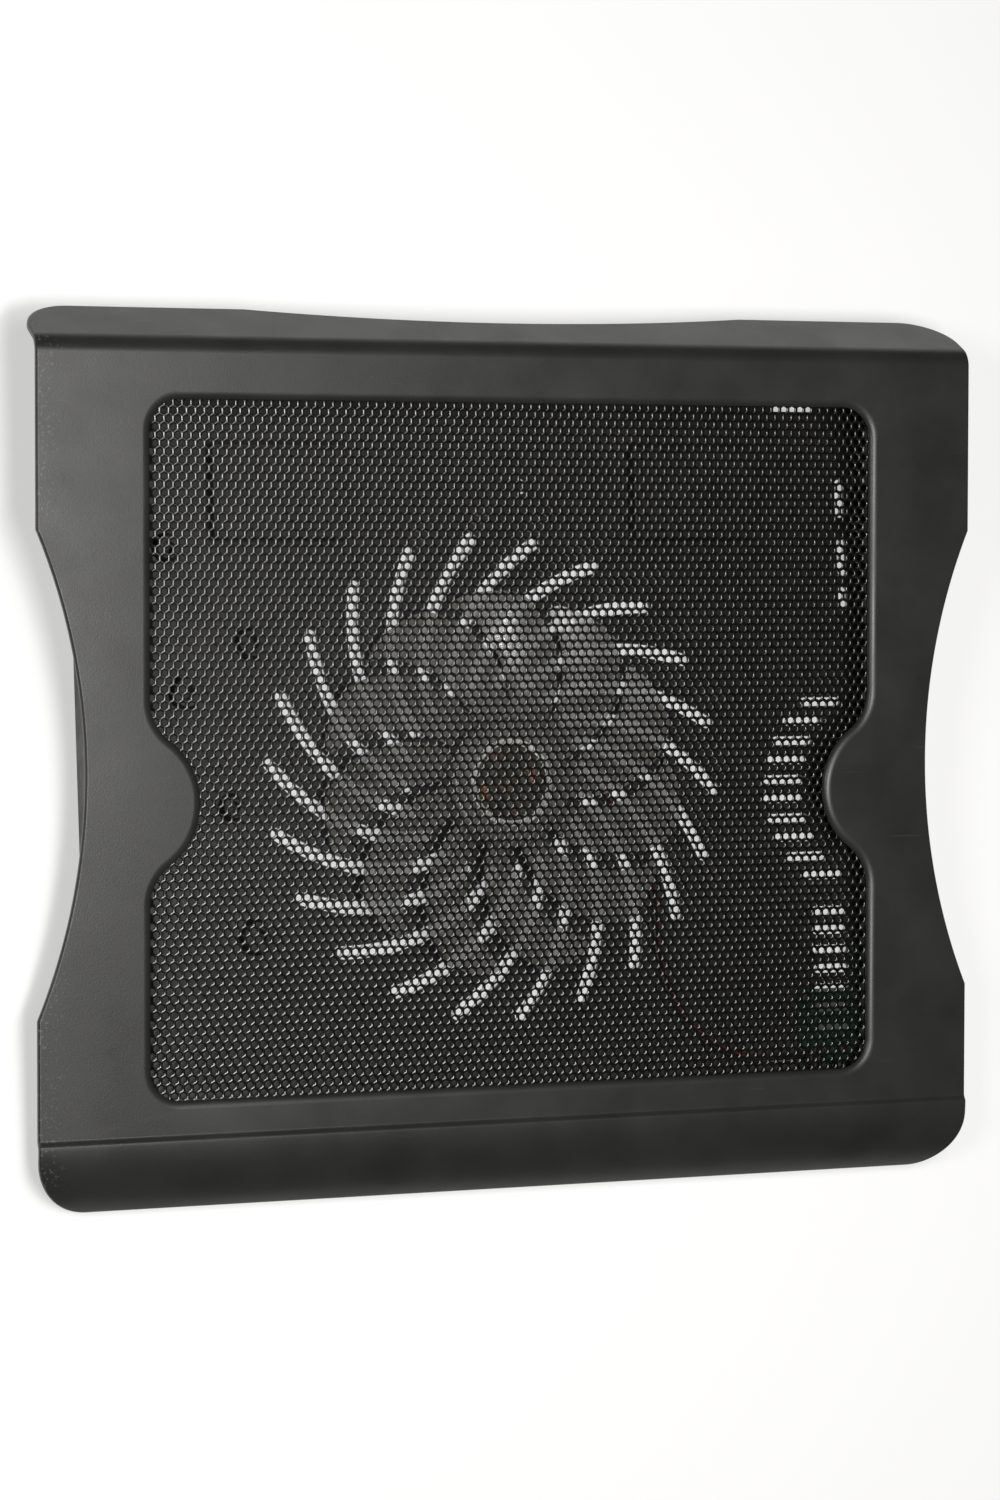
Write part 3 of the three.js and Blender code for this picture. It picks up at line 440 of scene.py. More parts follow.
class Paint:
    """A node material round one Principled shader, with textures placed by the object's own frame."""

    def __init__(self, name, base, roughness, metallic=0.0, **sockets):
        self.material = bpy.data.materials.new(name)
        self.material.use_nodes = True
        self.tree = self.material.node_tree
        self.shader = self.tree.nodes["Principled BSDF"]
        self.place = self.output("ShaderNodeTexCoord", "Object", {})
        self.base = base
        self.normal = None
        self.set("Base Color", (*base, 1))
        self.set("Roughness", roughness)
        self.set("Metallic", metallic)
        for socket, value in sockets.items():
            self.set(socket.replace("_", " "), value)

    def feed(self, socket, value):
        """Gives a socket another node's output, or else a plain value."""
        if isinstance(value, bpy.types.NodeSocket):
            self.tree.links.new(value, socket)
        else:
            socket.default_value = value

    def set(self, socket, value):
        self.feed(self.shader.inputs[socket], value)

    def output(self, kind, name, inputs, **values):
        """One output of a new node with its inputs fed."""
        node = self.tree.nodes.new(kind)
        for key, value in values.items():
            setattr(node, key, value)
        for key, value in inputs.items():
            self.feed(node.inputs[key], value)
        return node.outputs[name]

    def stretched(self, scale, turn=(0, 0, 0)):
        inputs = {"Scale": scale, "Rotation": turn, "Vector": self.place}
        return self.output("ShaderNodeMapping", "Vector", inputs)

    def noise(self, scale, detail, where=None):
        inputs = {"Scale": scale, "Detail": detail, "Vector": where or self.place}
        return self.output("ShaderNodeTexNoise", "Fac", inputs)

    def cells(self, scale, feature="F1"):
        inputs = {"Scale": scale, "Vector": self.place}
        return self.output("ShaderNodeTexVoronoi", "Distance", inputs, feature=feature)

    def spread(self, value, low, high, to_low, to_high):
        """The value's range low to high, turned into to_low to to_high."""
        inputs = {"Value": value, "From Min": low, "From Max": high, "To Min": to_low, "To Max": to_high}
        return self.output("ShaderNodeMapRange", "Result", inputs)

    def product(self, a, b):
        return self.output("ShaderNodeMath", "Value", {0: a, 1: b}, operation="MULTIPLY")

    def axis(self, name):
        return self.output("ShaderNodeSeparateXYZ", name, {"Vector": self.place})

    def mixed(self, factor, a, b):
        """Colour a where the factor is 0 and b where it is 1."""
        node = self.tree.nodes.new("ShaderNodeMix")
        node.data_type = "RGBA"
        self.feed(node.inputs["Factor"], factor)
        colours = [s for s in node.inputs if s.type == "RGBA"]
        for socket, value in zip(colours, (a, b)):
            plain = isinstance(value, tuple)
            self.feed(socket, (*value, 1) if plain else value)
        return next(s for s in node.outputs if s.type == "RGBA")

    def shade(self, texture, at_low, at_high, span=MIDDLE):
        """Varies the base colour over a texture's span, between two factors of it."""
        factor = self.spread(texture, *span, 0, 1)
        color = self.mixed(factor, tinted(self.base, at_low), tinted(self.base, at_high))
        self.set("Base Color", color)
        return color

    def polish(self, texture, at_low, at_high, span=MIDDLE):
        """Varies the roughness over a texture's span."""
        self.set("Roughness", self.spread(texture, *span, at_low, at_high))

    def bump(self, height, depth, strength):
        """Adds relief, its depth in millimetres, to any that was added before."""
        inputs = {"Strength": strength, "Distance": depth * MM, "Height": height}
        if self.normal is not None:
            inputs["Normal"] = self.normal
        self.normal = self.output("ShaderNodeBump", "Normal", inputs)
        self.set("Normal", self.normal)


def tinted(color, factor):
    return tuple(channel * factor for channel in color)


def frame_plastic():
    """Charcoal moulded plastic: fine grain, faint mottling, hairline scratches, a rubbed left edge."""
    paint = Paint("frame_plastic", (0.020, 0.020, 0.0188), 0.36, Specular_IOR_Level=0.4)
    color = paint.shade(paint.noise(38, 4), 0.86, 1.14)
    hairs = paint.noise(900, 2, paint.stretched((0.03, 1, 1), (0, 0, radians(24))))
    color = paint.mixed(paint.spread(hairs, 0.74, 0.80, 0, 0.22), color, (0.10, 0.10, 0.095))
    near_edge = paint.spread(paint.axis("X"), -0.156, -0.166, 0, 1)
    specks = paint.spread(paint.noise(900, 2), 0.60, 0.68, 0, 0.5)
    color = paint.mixed(paint.product(near_edge, specks), color, (0.13, 0.13, 0.125))
    paint.set("Base Color", color)
    paint.polish(paint.noise(55, 4), 0.33, 0.40)
    paint.bump(paint.noise(1700, 2), 0.04, 0.55)
    paint.bump(paint.noise(16, 2), 0.6, 0.12)
    return paint.material


def panel_steel():
    """Black satin paint on punched steel."""
    paint = Paint("panel_steel", (0.0035, 0.0035, 0.0034), 0.22, Specular_IOR_Level=0.5)
    paint.shade(paint.noise(240, 3), 0.75, 1.5, (0.40, 0.66))
    paint.polish(paint.noise(420, 3), 0.15, 0.22)
    paint.bump(paint.noise(2600, 2), 0.03, 0.5)
    return paint.material


def moulded_black(name, base, roughness, grain=1900):
    """Dark moulded plastic or vinyl, with flow marks and a fine grain."""
    paint = Paint(name, base, roughness)
    paint.shade(paint.noise(45, 4), 0.82, 1.22)
    paint.polish(paint.noise(130, 3), roughness - 0.05, roughness + 0.07)
    paint.bump(paint.noise(grain, 2), 0.04, 0.5)
    return paint.material


def rubber():
    """Matt rubber with a little dust on it."""
    paint = Paint("rubber", (0.014, 0.014, 0.014), 0.82, Specular_IOR_Level=0.3)
    dust = paint.spread(paint.noise(600, 4), 0.50, 0.75, 0, 1)
    paint.set("Base Color", paint.mixed(dust, paint.base, (0.045, 0.043, 0.04)))
    paint.polish(paint.noise(300, 3), 0.74, 0.9)
    paint.bump(paint.noise(2500, 3), 0.06, 0.6)
    return paint.material


def plated(name, base, roughness, streak=(1, 1, 0.06)):
    """Plated steel with fine drawn lines."""
    paint = Paint(name, base, roughness, 1.0)
    lines = paint.noise(1500, 2, paint.stretched(streak))
    paint.shade(paint.noise(180, 3), 1, 0.72, (0.35, 0.7))
    paint.polish(lines, roughness - 0.07, roughness + 0.1)
    paint.bump(lines, 0.01, 0.5)
    return paint.material


def smoke_plastic(name, base, alpha, roughness):
    """Smoky translucent plastic of the fan, with faint flow lines."""
    paint = Paint(name, base, roughness, Alpha=alpha, Coat_Weight=0.3, Coat_Roughness=0.12)
    paint.shade(paint.noise(70, 4), 0.8, 1.25)
    paint.polish(paint.noise(160, 3), roughness - 0.04, roughness + 0.07)
    paint.bump(paint.noise(300, 2), 0.03, 0.3)
    return paint.material


def granular(name, base, roughness, metallic, scale):
    """Sintered or pressed material, with its grains."""
    paint = Paint(name, base, roughness, metallic)
    grains = paint.cells(scale)
    span = (0.1, 0.7)
    paint.shade(grains, 1.2, 0.7, span)
    paint.polish(grains, roughness - 0.08, roughness + 0.1, span)
    paint.bump(grains, 0.04, 0.5)
    return paint.material


def white_plastic():
    """Slick off-white plastic."""
    base = (0.62, 0.60, 0.53)
    paint = Paint("white_plastic", base, 0.42, Subsurface_Weight=0.08, Subsurface_Scale=0.001)
    paint.shade(paint.noise(260, 3), 0.9, 1.06)
    paint.bump(paint.noise(1800, 2), 0.03, 0.4)
    return paint.material


def copper():
    """Enamelled winding wire."""
    paint = Paint("copper", (0.72, 0.22, 0.075), 0.34, 0.75, Coat_Weight=0.5, Coat_Roughness=0.15)
    paint.shade(paint.noise(500, 3), 0.72, 1.12)
    paint.polish(paint.noise(900, 2), 0.22, 0.36)
    return paint.material


def circuit_board():
    """Dark green solder mask over raised copper tracks, on board that lets a little light through."""
    mask = (0.004, 0.022, 0.012)
    paint = Paint("circuit_board", mask, 0.3, Coat_Weight=0.3, Coat_Roughness=0.1, Alpha=0.74)
    track = paint.spread(paint.cells(330, "DISTANCE_TO_EDGE"), 0.06, 0.09, 1, 0)
    paint.set("Base Color", paint.mixed(track, mask, (0.008, 0.045, 0.022)))
    paint.polish(paint.noise(500, 2), 0.25, 0.38)
    paint.bump(track, 0.03, 0.6)
    return paint.material


MATERIALS = {
    "frame_plastic": frame_plastic(),
    "panel_steel": panel_steel(),
    "tray_plastic": moulded_black("tray_plastic", (0.015, 0.0135, 0.0115), 0.42),
    "black_plastic": moulded_black("black_plastic", (0.014, 0.014, 0.0145), 0.4),
    "zinc_screw": plated("zinc_screw", (0.30, 0.31, 0.32), 0.34, (1, 1, 1)),
    "rubber": rubber(),
    "steel": plated("steel", (0.55, 0.56, 0.57), 0.26),
    "smoke_plastic": smoke_plastic("smoke_plastic", (0.26, 0.25, 0.225), 0.60, 0.22),
    "ferrite": granular("ferrite", (0.03, 0.03, 0.032), 0.62, 0.0, 2400),
    "bronze": granular("bronze", (0.50, 0.30, 0.12), 0.42, 1.0, 3000),
    "white_plastic": white_plastic(),
    "copper": copper(),
    "circuit_board": circuit_board(),
    "red_vinyl": moulded_black("red_vinyl", (0.06, 0.007, 0.006), 0.5, 2600),
    "black_vinyl": moulded_black("black_vinyl", (0.013, 0.013, 0.013), 0.4, 2600),
}
WINDOW_PAINT = smoke_plastic("smoke_window", (0.14, 0.125, 0.10), 0.34, 0.18)
# The bead's pale, near-white colour is a painted highlight: it stands in for the bright ring of light round
# the hub's roof.
HIGHLIGHT_BEAD_PAINT = smoke_plastic("smoke_painted_highlight", (0.78, 0.77, 0.70), 0.9, 0.4)


def made(name, shape, body, slot, material, sharp=38):
    """A shown piece, in metres in the row frame, that moves with a body."""
    mesh = mesh_of(shape, name)
    mesh.transform(Matrix.Scale(MM, 4) @ Matrix.Translation((0, SHIFT, 0)))
    mesh.validate()
    mesh.polygons.foreach_set("use_smooth", [True] * len(mesh.polygons))
    mesh.set_sharp_from_angle(angle=radians(sharp))
    piece = bpy.data.objects.new(name, mesh)
    bpy.context.scene.collection.objects.link(piece)
    weights = piece.modifiers.new("weights", "WEIGHTED_NORMAL")
    weights.keep_sharp = True
    mesh.materials.append(material)
    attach(piece, body)
    return piece


def show(node, shape, sharp=38):
    """Makes the shape the shown piece that stands for a CAD node."""
    piece = made(f"{node}_detail", shape, BODY[node], SLOT[node], MATERIALS[SLOT[node]], sharp)
    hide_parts(node)
    return piece


def refined(node, width, segments):
    """Shows a CAD node's own shape with its edges rounded."""
    points, faces = shape_of(frame["nodes"][node].data)
    local = [(x / MM, y / MM - SHIFT, z / MM) for x, y, z in points]
    return show(node, softened((local, faces), width, segments))


# ---------------------------------------------------------------- deck

class Section:
    """The sheet's section as a line of points, found by its length from the front edge."""

    def __init__(self):
        run = LIP["ridge_y"] - LIP["edge"]
        turn = 2 * atan((LIP["ridge"] + LIP["drop"]) / run)
        radius = run / sin(turn)
        centre = LIP["ridge"] - radius
        line = arc(LIP["ridge_y"], centre, radius, pi / 2 + turn, pi / 2, 60)
        width = LIP["groove_y"] - LIP["ridge_y"]
        steps = 16
        for k in range(1, steps + 1):
            fall = 0.5 + 0.5 * cos(pi * k / steps)
            line.append((LIP["ridge_y"] + width * k / steps, LIP["ridge"] * fall))
        line.append((BEND["y"], 0))
        angle = RISER["angle"]
        line += arc(BEND["y"], -BEND["radius"], BEND["radius"], pi / 2, pi / 2 - angle, 40)[1:]
        bend_end = len(line) - 1
        bend_drop = BEND["radius"] * (1 - cos(angle))
        self.riser_length = (RISER["drop"] - bend_drop) / sin(angle)
        end_y, end_z = line[-1]
        line.append((end_y + self.riser_length * cos(angle), end_z - self.riser_length * sin(angle)))
        self.points = np.array(line)
        steps = np.hypot(*np.diff(self.points, axis=0).T)
        self.lengths = np.concatenate(([0], np.cumsum(steps)))
        self.bend_end = self.lengths[bend_end]
        slopes = np.diff(self.points, axis=0) / steps[:, None]
        mean = np.vstack((slopes[:1], slopes[:-1] + slopes[1:], slopes[-1:]))
        self.slopes = mean / np.hypot(*mean.T)[:, None]

    def at(self, y):
        """The length at which the line reaches y."""
        return float(np.interp(y, self.points[:, 0], self.lengths))

    def surface(self, x, length, n):
        """The 3-D point in the tray's frame at x, a length from the front edge, and n above the sheet."""
        y, z, ty, tz = (
            float(np.interp(length, self.lengths, column))
            for column in (*self.points.T, *self.slopes.T)
        )
        return tuple(DECK @ Vector((x, y - n * tz, z + n * ty)))


SECTION = Section()


def deck_outline():
    """Half the deck's outline from the front middle to the rear middle, then its mirror image."""
    middle = (WAIST["front"] + WAIST["rear"]) / 2
    reach = (WAIST["rear"] - WAIST["front"]) / 2
    depth = HALF_WIDTH - WAIST["half"]
    radius = (reach * reach + depth * depth) / (2 * depth)
    half = asin(reach / radius)
    cx = HALF_WIDTH - LIP["corner"]
    cy = LIP["edge"] + LIP["corner"]
    right = [(x, SECTION.at(y)) for x, y in arc(cx, cy, LIP["corner"], -pi / 2, 0, 26)]
    waist = arc(WAIST["half"] + radius, middle, radius, pi + half, pi - half, 60)
    right += [(x, SECTION.at(y)) for x, y in waist]
    end = SECTION.bend_end + SECTION.riser_length
    right += arc(HALF_WIDTH - RISER["corner"], end - RISER["corner"], RISER["corner"], 0, pi / 2, 22)
    arch_radius = (RISER["arch_half"] ** 2 + RISER["arch_depth"] ** 2) / (2 * RISER["arch_depth"])
    arch = asin(RISER["arch_half"] / arch_radius)
    arch_centre = end - RISER["arch_depth"] + arch_radius
    right += arc(0, arch_centre, arch_radius, -pi / 2 + arch, -pi / 2, 20)
    return right + [(-x, s) for x, s in reversed(right[:-1])]


def opening_outline():
    """The opening with the round bump of the frame on each side, in the deck's x and y."""
    bump, fillet, corner = BUMP["radius"], BUMP["fillet"], OPENING["corner"]
    fillet_x = OPENING["half"] - fillet
    bump_x = BUMP["reach"] + bump
    span = sqrt((bump + fillet) ** 2 - (bump_x - fillet_x) ** 2)
    lean = atan2(span, bump_x - fillet_x)
    corner_x = OPENING["half"] - corner
    right = arc(corner_x, OPENING["front"] + corner, corner, -pi / 2, 0, 12)
    right += arc(fillet_x, BUMP["y"] - span, fillet, 0, lean, 8)
    right += arc(bump_x, BUMP["y"], bump, pi + lean, pi - lean, 40)[1:]
    right += arc(fillet_x, BUMP["y"] + span, fillet, -lean, 0, 8)[1:]
    right += arc(corner_x, OPENING["rear"] - corner, corner, 0, pi / 2, 12)
    return right + [(-x, y) for x, y in reversed(right)]


def clip_places():
    x = OPENING["half"] + CLIP["inset"]
    front = OPENING["front"] - CLIP["inset"]
    rear = OPENING["rear"] + CLIP["inset"]
    places = []
    for side in (-1, 1):
        places += [(side * x, 62), (side * x, -72), (side * 62, front), (side * 62, rear)]
    return places


def screw_places():
    places = []
    for side in (-1, 1):
        places += [(side * SIDE_SCREWS["x"], y) for y in SIDE_SCREWS["y"]]
        places.append((side * FRONT_SCREWS["x"], FRONT_SCREWS["y"]))
    return places


def screw_posts():
    """The posts under the deck that take the case screws. Each ends just below the sheet."""
    inner, radius = SCREW["shank"] + GAP, SCREW["post"]
    bottom, roof = SCREW["boss_top"] + GAP, SCREW["top"] + GAP
    short = SHEET + 1.4
    posts = []
    for x, y in screw_places():
        top = DECK_HEIGHT + (y + 4) * tan(TILT) - short
        profile = [(0, roof), (inner, roof), (inner, bottom), (radius, bottom), (radius, top), (0, top)]
        posts.append(shifted(turned(profile, 0.2, 32), x, y))
    return posts


def top_frame():
    """The bent sheet with its opening, and the posts under it."""
    opening = [(x, SECTION.at(y)) for x, y in opening_outline()]
    lip_end, bend_start, bend_end = SECTION.at(LIP["groove_y"]), SECTION.at(BEND["y"]), SECTION.bend_end
    bends = [s for s in SECTION.lengths[::2] if s < lip_end + 0.1 or bend_start - 0.1 < s < bend_end + 0.1]
    bends += [lip_end, bend_end]
    wide = HALF_WIDTH + 10
    lines = [((-wide, s), (wide, s)) for s in sorted(set(bends)) if s > 0.01]
    loops = [deck_outline(), opening]
    sheet = plate(loops, lines, SHEET, EDGE_ROUND, OPENING_ROLL, SECTION.surface)
    show("top_frame", joined(sheet, *screw_posts()))


def hole_centres():
    """The centres of the panel's holes, in staggered rows over the opening and clear of the clips."""
    pitch = HOLE["pitch"]
    rise = pitch * sqrt(3) / 2
    rows = range(ceil((OPENING["front"] - 1) / rise), ceil((OPENING["rear"] + 1) / rise))
    across = int(OPENING["half"] / pitch) + 1
    reach = OPENING["half"] + HOLE["overlap"]
    apart = CLIP["stud"] + HOLE["clearance"]
    centres = []
    for row in rows:
        for column in range(-across, across + 1):
            x = (column + 0.5 * (row % 2)) * pitch
            y = row * rise
            clear = all(hypot(x - cx, y - cy) > apart for cx, cy in clip_places())
            if abs(x) < reach and clear:
                centres.append((x, y))
    return np.array(centres)


def hexagon_corners(centres, reach):
    """Six corners round each centre, in one list."""
    angles = np.radians(30 + 60 * np.arange(6))
    corners = np.stack((np.cos(angles), np.sin(angles)), axis=1)
    return (centres[:, None, :] + corners * reach).reshape(-1, 2)


def longest_loop(border):
    """The longest closed loop among directed edges, as the indices along it."""
    ahead = dict(border)
    loops = []
    while ahead:
        start, here = ahead.popitem()
        loop = [start]
        while here != start:
            loop.append(here)
            here = ahead.pop(here)
        loops.append(loop)
    return max(loops, key=len)


def at_height(outline, z):
    return [(float(x), float(y), z) for x, y in outline]


def panel_webs(cells, corners, holes):
    """The metal between the holes, rolled down into each: cells has six indices of corners a hole."""
    top, bottom = PANEL["top"], PANEL_BOTTOM
    points = at_height(corners, top) + at_height(corners, bottom)
    points += at_height(holes, top - HOLE["roll"]) + at_height(holes, bottom)
    count = len(corners)
    faces = []
    for k, cell in enumerate(cells):
        for i in range(6):
            j = (i + 1) % 6
            a, b = int(cell[i]), int(cell[j])
            c, d = 2 * count + 6 * k + i, 2 * count + 6 * k + j
            e, f = c + len(holes), d + len(holes)
            faces += [(a, b, d, c), (c, d, f, e), (count + b, count + a, e, f)]
    return points, faces


def panel_border(inner):
    """The plain border from an inner outline to the panel's edge, with holes for the clips' studs."""
    top, bottom = PANEL["top"], PANEL_BOTTOM
    grow = PANEL["flange"]
    half = OPENING["half"] + grow
    front, rear = OPENING["front"] - grow, OPENING["rear"] + grow
    edge = rounded_rectangle(-half, half, front, rear, PANEL["corner"], 8)
    studs = [arc(x, y, CLIP["stud"] + GAP, 0, 2 * pi, 16)[:-1] for x, y in clip_places()]
    points, triangles = filled([edge, inner, *studs])
    upper = (at_height(points, top), [tuple(map(int, t)) for t in triangles])
    lower = (at_height(points, bottom), [tuple(map(int, t[::-1])) for t in triangles])
    walls = []
    for ring in (edge, *(stud[::-1] for stud in studs)):
        count = len(ring)
        walls.append((at_height(ring, bottom) + at_height(ring, top), band(0, count, count)))
    return joined(upper, lower, *walls)


def mesh_panel():
    """The perforated panel: rolled webs round six-sided holes in staggered rows, and a plain border."""
    centres = hole_centres()
    corners = hexagon_corners(centres, HOLE["pitch"] / sqrt(3))
    holes = hexagon_corners(centres, (HOLE["pitch"] - HOLE["web"]) / sqrt(3))
    _, first, index = np.unique(np.round(corners, 3), axis=0, return_index=True, return_inverse=True)
    corners = corners[first]
    cells = index.reshape(-1, 6)
    zigzag = [tuple(corners[i]) for i in longest_loop(border_of(cells))]
    shape = moved(joined(panel_webs(cells, corners, holes), panel_border(zigzag)), DECK)
    shape = edited(shape, lambda bm: bmesh.ops.remove_doubles(bm, verts=bm.verts, dist=2e-3))
    piece = show("mesh_panel", shape, sharp=58)
    piece.modifiers.clear()


def panel_clips():
    """Studs through the panel's border, each with a round head under it."""
    stud, washer = CLIP["stud"], CLIP["washer"]
    high = PANEL_BOTTOM - GAP
    low = high - CLIP["height"]
    profile = [(0, low), (washer, low), (washer, high), (stud, high), (stud, CLIP["stud_top"])]
    clip = turned([*profile, (0, CLIP["stud_top"])], 0.25, 40)
    for i, (x, y) in enumerate(clip_places()):
        show(f"panel_clip_{i + 1}", moved(clip, DECK @ Matrix.Translation((x, y, 0))))


# ---------------------------------------------------------------- tray

def swirl_point(radius, start):
    inward = SWIRL["outer"] - radius
    angle = start + radians(0.72 * inward + 0.0024 * inward * inward)
    return radius * cos(angle), SWIRL["y"] + radius * sin(angle)


def slot_outline(line, width):
    """A slot of even width along a line of points, with round ends."""
    half = width / 2
    last = len(line) - 1

    def heading(i):
        a, b = line[max(i - 1, 0)], line[min(i + 1, last)]
        return atan2(b[1] - a[1], b[0] - a[0])

    def offset(i, angle):
        return line[i][0] + half * cos(angle), line[i][1] + half * sin(angle)

    outline = [offset(i, heading(i) - pi / 2) for i in range(last + 1)]
    outline += [offset(last, heading(last) + radians(a)) for a in range(-75, 76, 15)]
    outline += [offset(i, heading(i) + pi / 2) for i in range(last, -1, -1)]
    outline += [offset(0, heading(0) + radians(a)) for a in range(105, 256, 15)]
    return outline


def slot_cutter(line, width):
    """Cuts a slot with small chamfers on both faces of the floor."""
    chamfer, past, flare = 0.35, 0.4, 1.1
    heights = (FLOOR_BOTTOM - past, FLOOR_BOTTOM + chamfer, FLOOR_TOP - chamfer, FLOOR_TOP + past)
    levels = zip(heights, (flare, 0, 0, flare))
    return loft([[(x, y, z) for x, y in slot_outline(line, width + more)] for z, more in levels])


def floor_slots():
    """The swirl, the two side columns, the line by the wall, the rear slot and the keyhole."""
    lines = []
    for k in range(SWIRL["slots"]):
        start = SWIRL["phase"] + k * 2 * pi / SWIRL["slots"]
        radii = np.linspace(SWIRL["inner"], SWIRL["outer"], 25)
        lines.append(([swirl_point(r, start) for r in radii], SWIRL["width"]))
    bend = BEND_COLUMN
    for k in range(bend["slots"]):
        y = bend["top"] - k * SLOT_PITCH
        x = bend["x"] - sqrt(bend["radius"] ** 2 - (y - bend["y"]) ** 2) + SLOT_WIDTH / 2
        lines.append(([(x, y), (x + bend["length"], y)], SLOT_WIDTH))
    column = STRAIGHT_COLUMN
    for k in range(column["slots"]):
        y = column["top"] - k * SLOT_PITCH
        lines.append(([(column["left"], y), (column["right"], y)], SLOT_WIDTH))
    for y0, y1 in WALL_LINE["ends"]:
        lines.append(([(WALL_LINE["x"], y0), (WALL_LINE["x"], y1)], WALL_LINE["width"]))
    rear = REAR_SLOT
    lines.append(([(rear["left"], rear["y"]), (rear["right"], rear["y"])], rear["width"]))
    key = KEYHOLE
    curve = arc(key["x"], key["y"], key["radius"], key["opening"], 2 * pi - key["opening"], 14)
    lines.append((curve, key["width"]))
    return [slot_cutter(line, width) for line, width in lines]


def boss(x, y, radius, top):
    """A boss on the floor with a fillet at its foot."""
    foot = 1.0
    profile = [(0, FLOOR_TOP - 1), (radius + foot, FLOOR_TOP - 1), (radius + foot, FLOOR_TOP - 0.05)]
    for a in np.linspace(0.2, pi / 2, 5):
        profile.append((radius + foot * (1 - sin(a)), FLOOR_TOP + foot * (1 - cos(a))))
    profile += [(radius, top - 0.4), (radius - 0.4, top), (0, top)]
    return shifted(lathe(profile, 40), x, y)


def bore(x, y, radius, z0, z1, sides=40):
    return shifted(lathe([(0, z0), (radius, z0), (radius, z1), (0, z1)], sides), x, y)


def leg_pocket(side, grow, z0, z1):
    x0, x1 = sorted((side * (LEG["inner"] - 1), side * (LEG["outer"] + 1)))
    return block(x0 - grow, x1 + grow, POCKET["front"] - grow, POCKET["rear"] + grow, z0, z1)


def tray_ring(inset, z):
    half, corner = TRAY["half"] - inset, TRAY["corner"] - inset
    outline = rounded_rectangle(-half, half, TRAY["front"] + inset, TRAY["rear"] - inset, corner, 14)
    return [(x, y, z) for x, y in outline]


def tray_rings(inset, radius, bottom):
    """Rings of the tray's wall up the round edge at its foot."""
    turns = np.linspace(0, pi / 2, 6)
    return [tray_ring(inset + radius * (1 - sin(a)), bottom + radius * (1 - cos(a))) for a in turns]


def tray_shell():
    """The open box: walls and floor, cut off along the panel's plane."""
    far = 200
    outside = loft(tray_rings(0, 1.5, FLOOR_BOTTOM) + [tray_ring(0, 60)])
    hollow = loft(tray_rings(WALL, 1.2, FLOOR_TOP) + [tray_ring(WALL, 70)])
    below = moved(block(-far, far, -far, far, PANEL["top"] - far, PANEL["top"]), DECK)
    return combined(combined(outside, below, "INTERSECT"), hollow, "DIFFERENCE")


def board_peg(x, y):
    """A pin through the control board with a swollen head."""
    neck, head = 1.3, 2.2
    profile = [(0, FLOOR_TOP - 1), (neck, FLOOR_TOP - 1), (neck, BOARD_TOP + GAP)]
    profile += [(head, BOARD_TOP + GAP + 0.1), (head - 0.5, BOARD_TOP + 1.1), (0, BOARD_TOP + 1.2)]
    return shifted(lathe(profile, 32), x, y)


def tray_bosses():
    """What stands on the floor: screw bosses, sockets, the fan's tube, board pegs, leg pockets."""
    bosses = [boss(x, y, SCREW["boss"], SCREW["boss_top"]) for x, y in screw_places()]
    bosses += [boss(x, y, radius, FLOOR_TOP + 4) for x, y, radius in SOCKETS]
    bosses.append(boss(0, FAN_Y, TUBE["outer"], TUBE["top"]))
    bosses += [board_peg(x, y) for x, y in PEGS]
    wall = POCKET["wall"]
    for side in (-1, 1):
        pocket = leg_pocket(side, wall, FLOOR_TOP - 1, POCKET["roof"] + wall)
        bosses.append(softened(pocket, 0.6, 3))
    return bosses


def screw_well(x, y):
    """A countersunk well up through the floor and a screw boss."""
    shank, head = SCREW["shank"] + 0.4, SCREW["head"] + 0.4
    profile = [(0, 0), (head + 0.6, 0), (head + 0.6, FLOOR_BOTTOM), (head, FLOOR_BOTTOM + 0.5)]
    profile += [(head, FLOOR_TOP + 0.4), (shank, FLOOR_TOP + 0.4), (shank, 20), (0, 20)]
    return shifted(lathe(profile, 40), x, y)


def wall_window(y, half, z0, z1):
    """Cuts a window through the right wall."""
    return block(140, 160, y - half, y + half, z0, z1)


def tray_cuts():
    """What is cut from the tray: bores, slots, leg pockets, screw wells and the wall's windows."""
    cuts = [bore(x, y, radius / 2, FLOOR_TOP - 0.8, FLOOR_TOP + 5) for x, y, radius in SOCKETS]
    cuts.append(bore(0, FAN_Y, TUBE["inner"], TUBE["floor"], TUBE["top"] + 1, 64))
    cuts += [bore(x, y, FOOT["peg"] + GAP, 0, 20) for x, y in FEET]
    cuts += floor_slots()
    cuts += [leg_pocket(side, 0, 0, POCKET["roof"]) for side in (-1, 1)]
    cuts += [screw_well(x, y) for x, y in screw_places()]
    base = BOARD_TOP + GAP
    play = 0.35
    for y in SOCKET["y"]:
        top = base + SOCKET["height"] + play
        cuts.append(wall_window(y, SOCKET["width"] / 2 + play, base - play, top))
    knob_z = base + SWITCH["height"] / 2
    knob_half = SWITCH["stub"] / 2 + GAP
    reach = (SWITCH["stub"] + SWITCH["travel"]) / 2 + GAP
    cuts.append(wall_window(SWITCH["y"], reach, knob_z - knob_half, knob_z + knob_half))
    return joined(*cuts)


def base_tray():
    """The tray in one piece, with holes for the leg pins."""
    tray = tray_shell()
    for piece in tray_bosses():
        tray = combined(tray, piece, "UNION")
    tray = combined(tray, tray_cuts(), "DIFFERENCE")
    pins = [leg_pin(side, 1.9, POCKET["pin"] + GAP, 32) for side in (-1, 1)]
    show("base_tray", combined(tray, joined(*pins), "DIFFERENCE"), sharp=32)


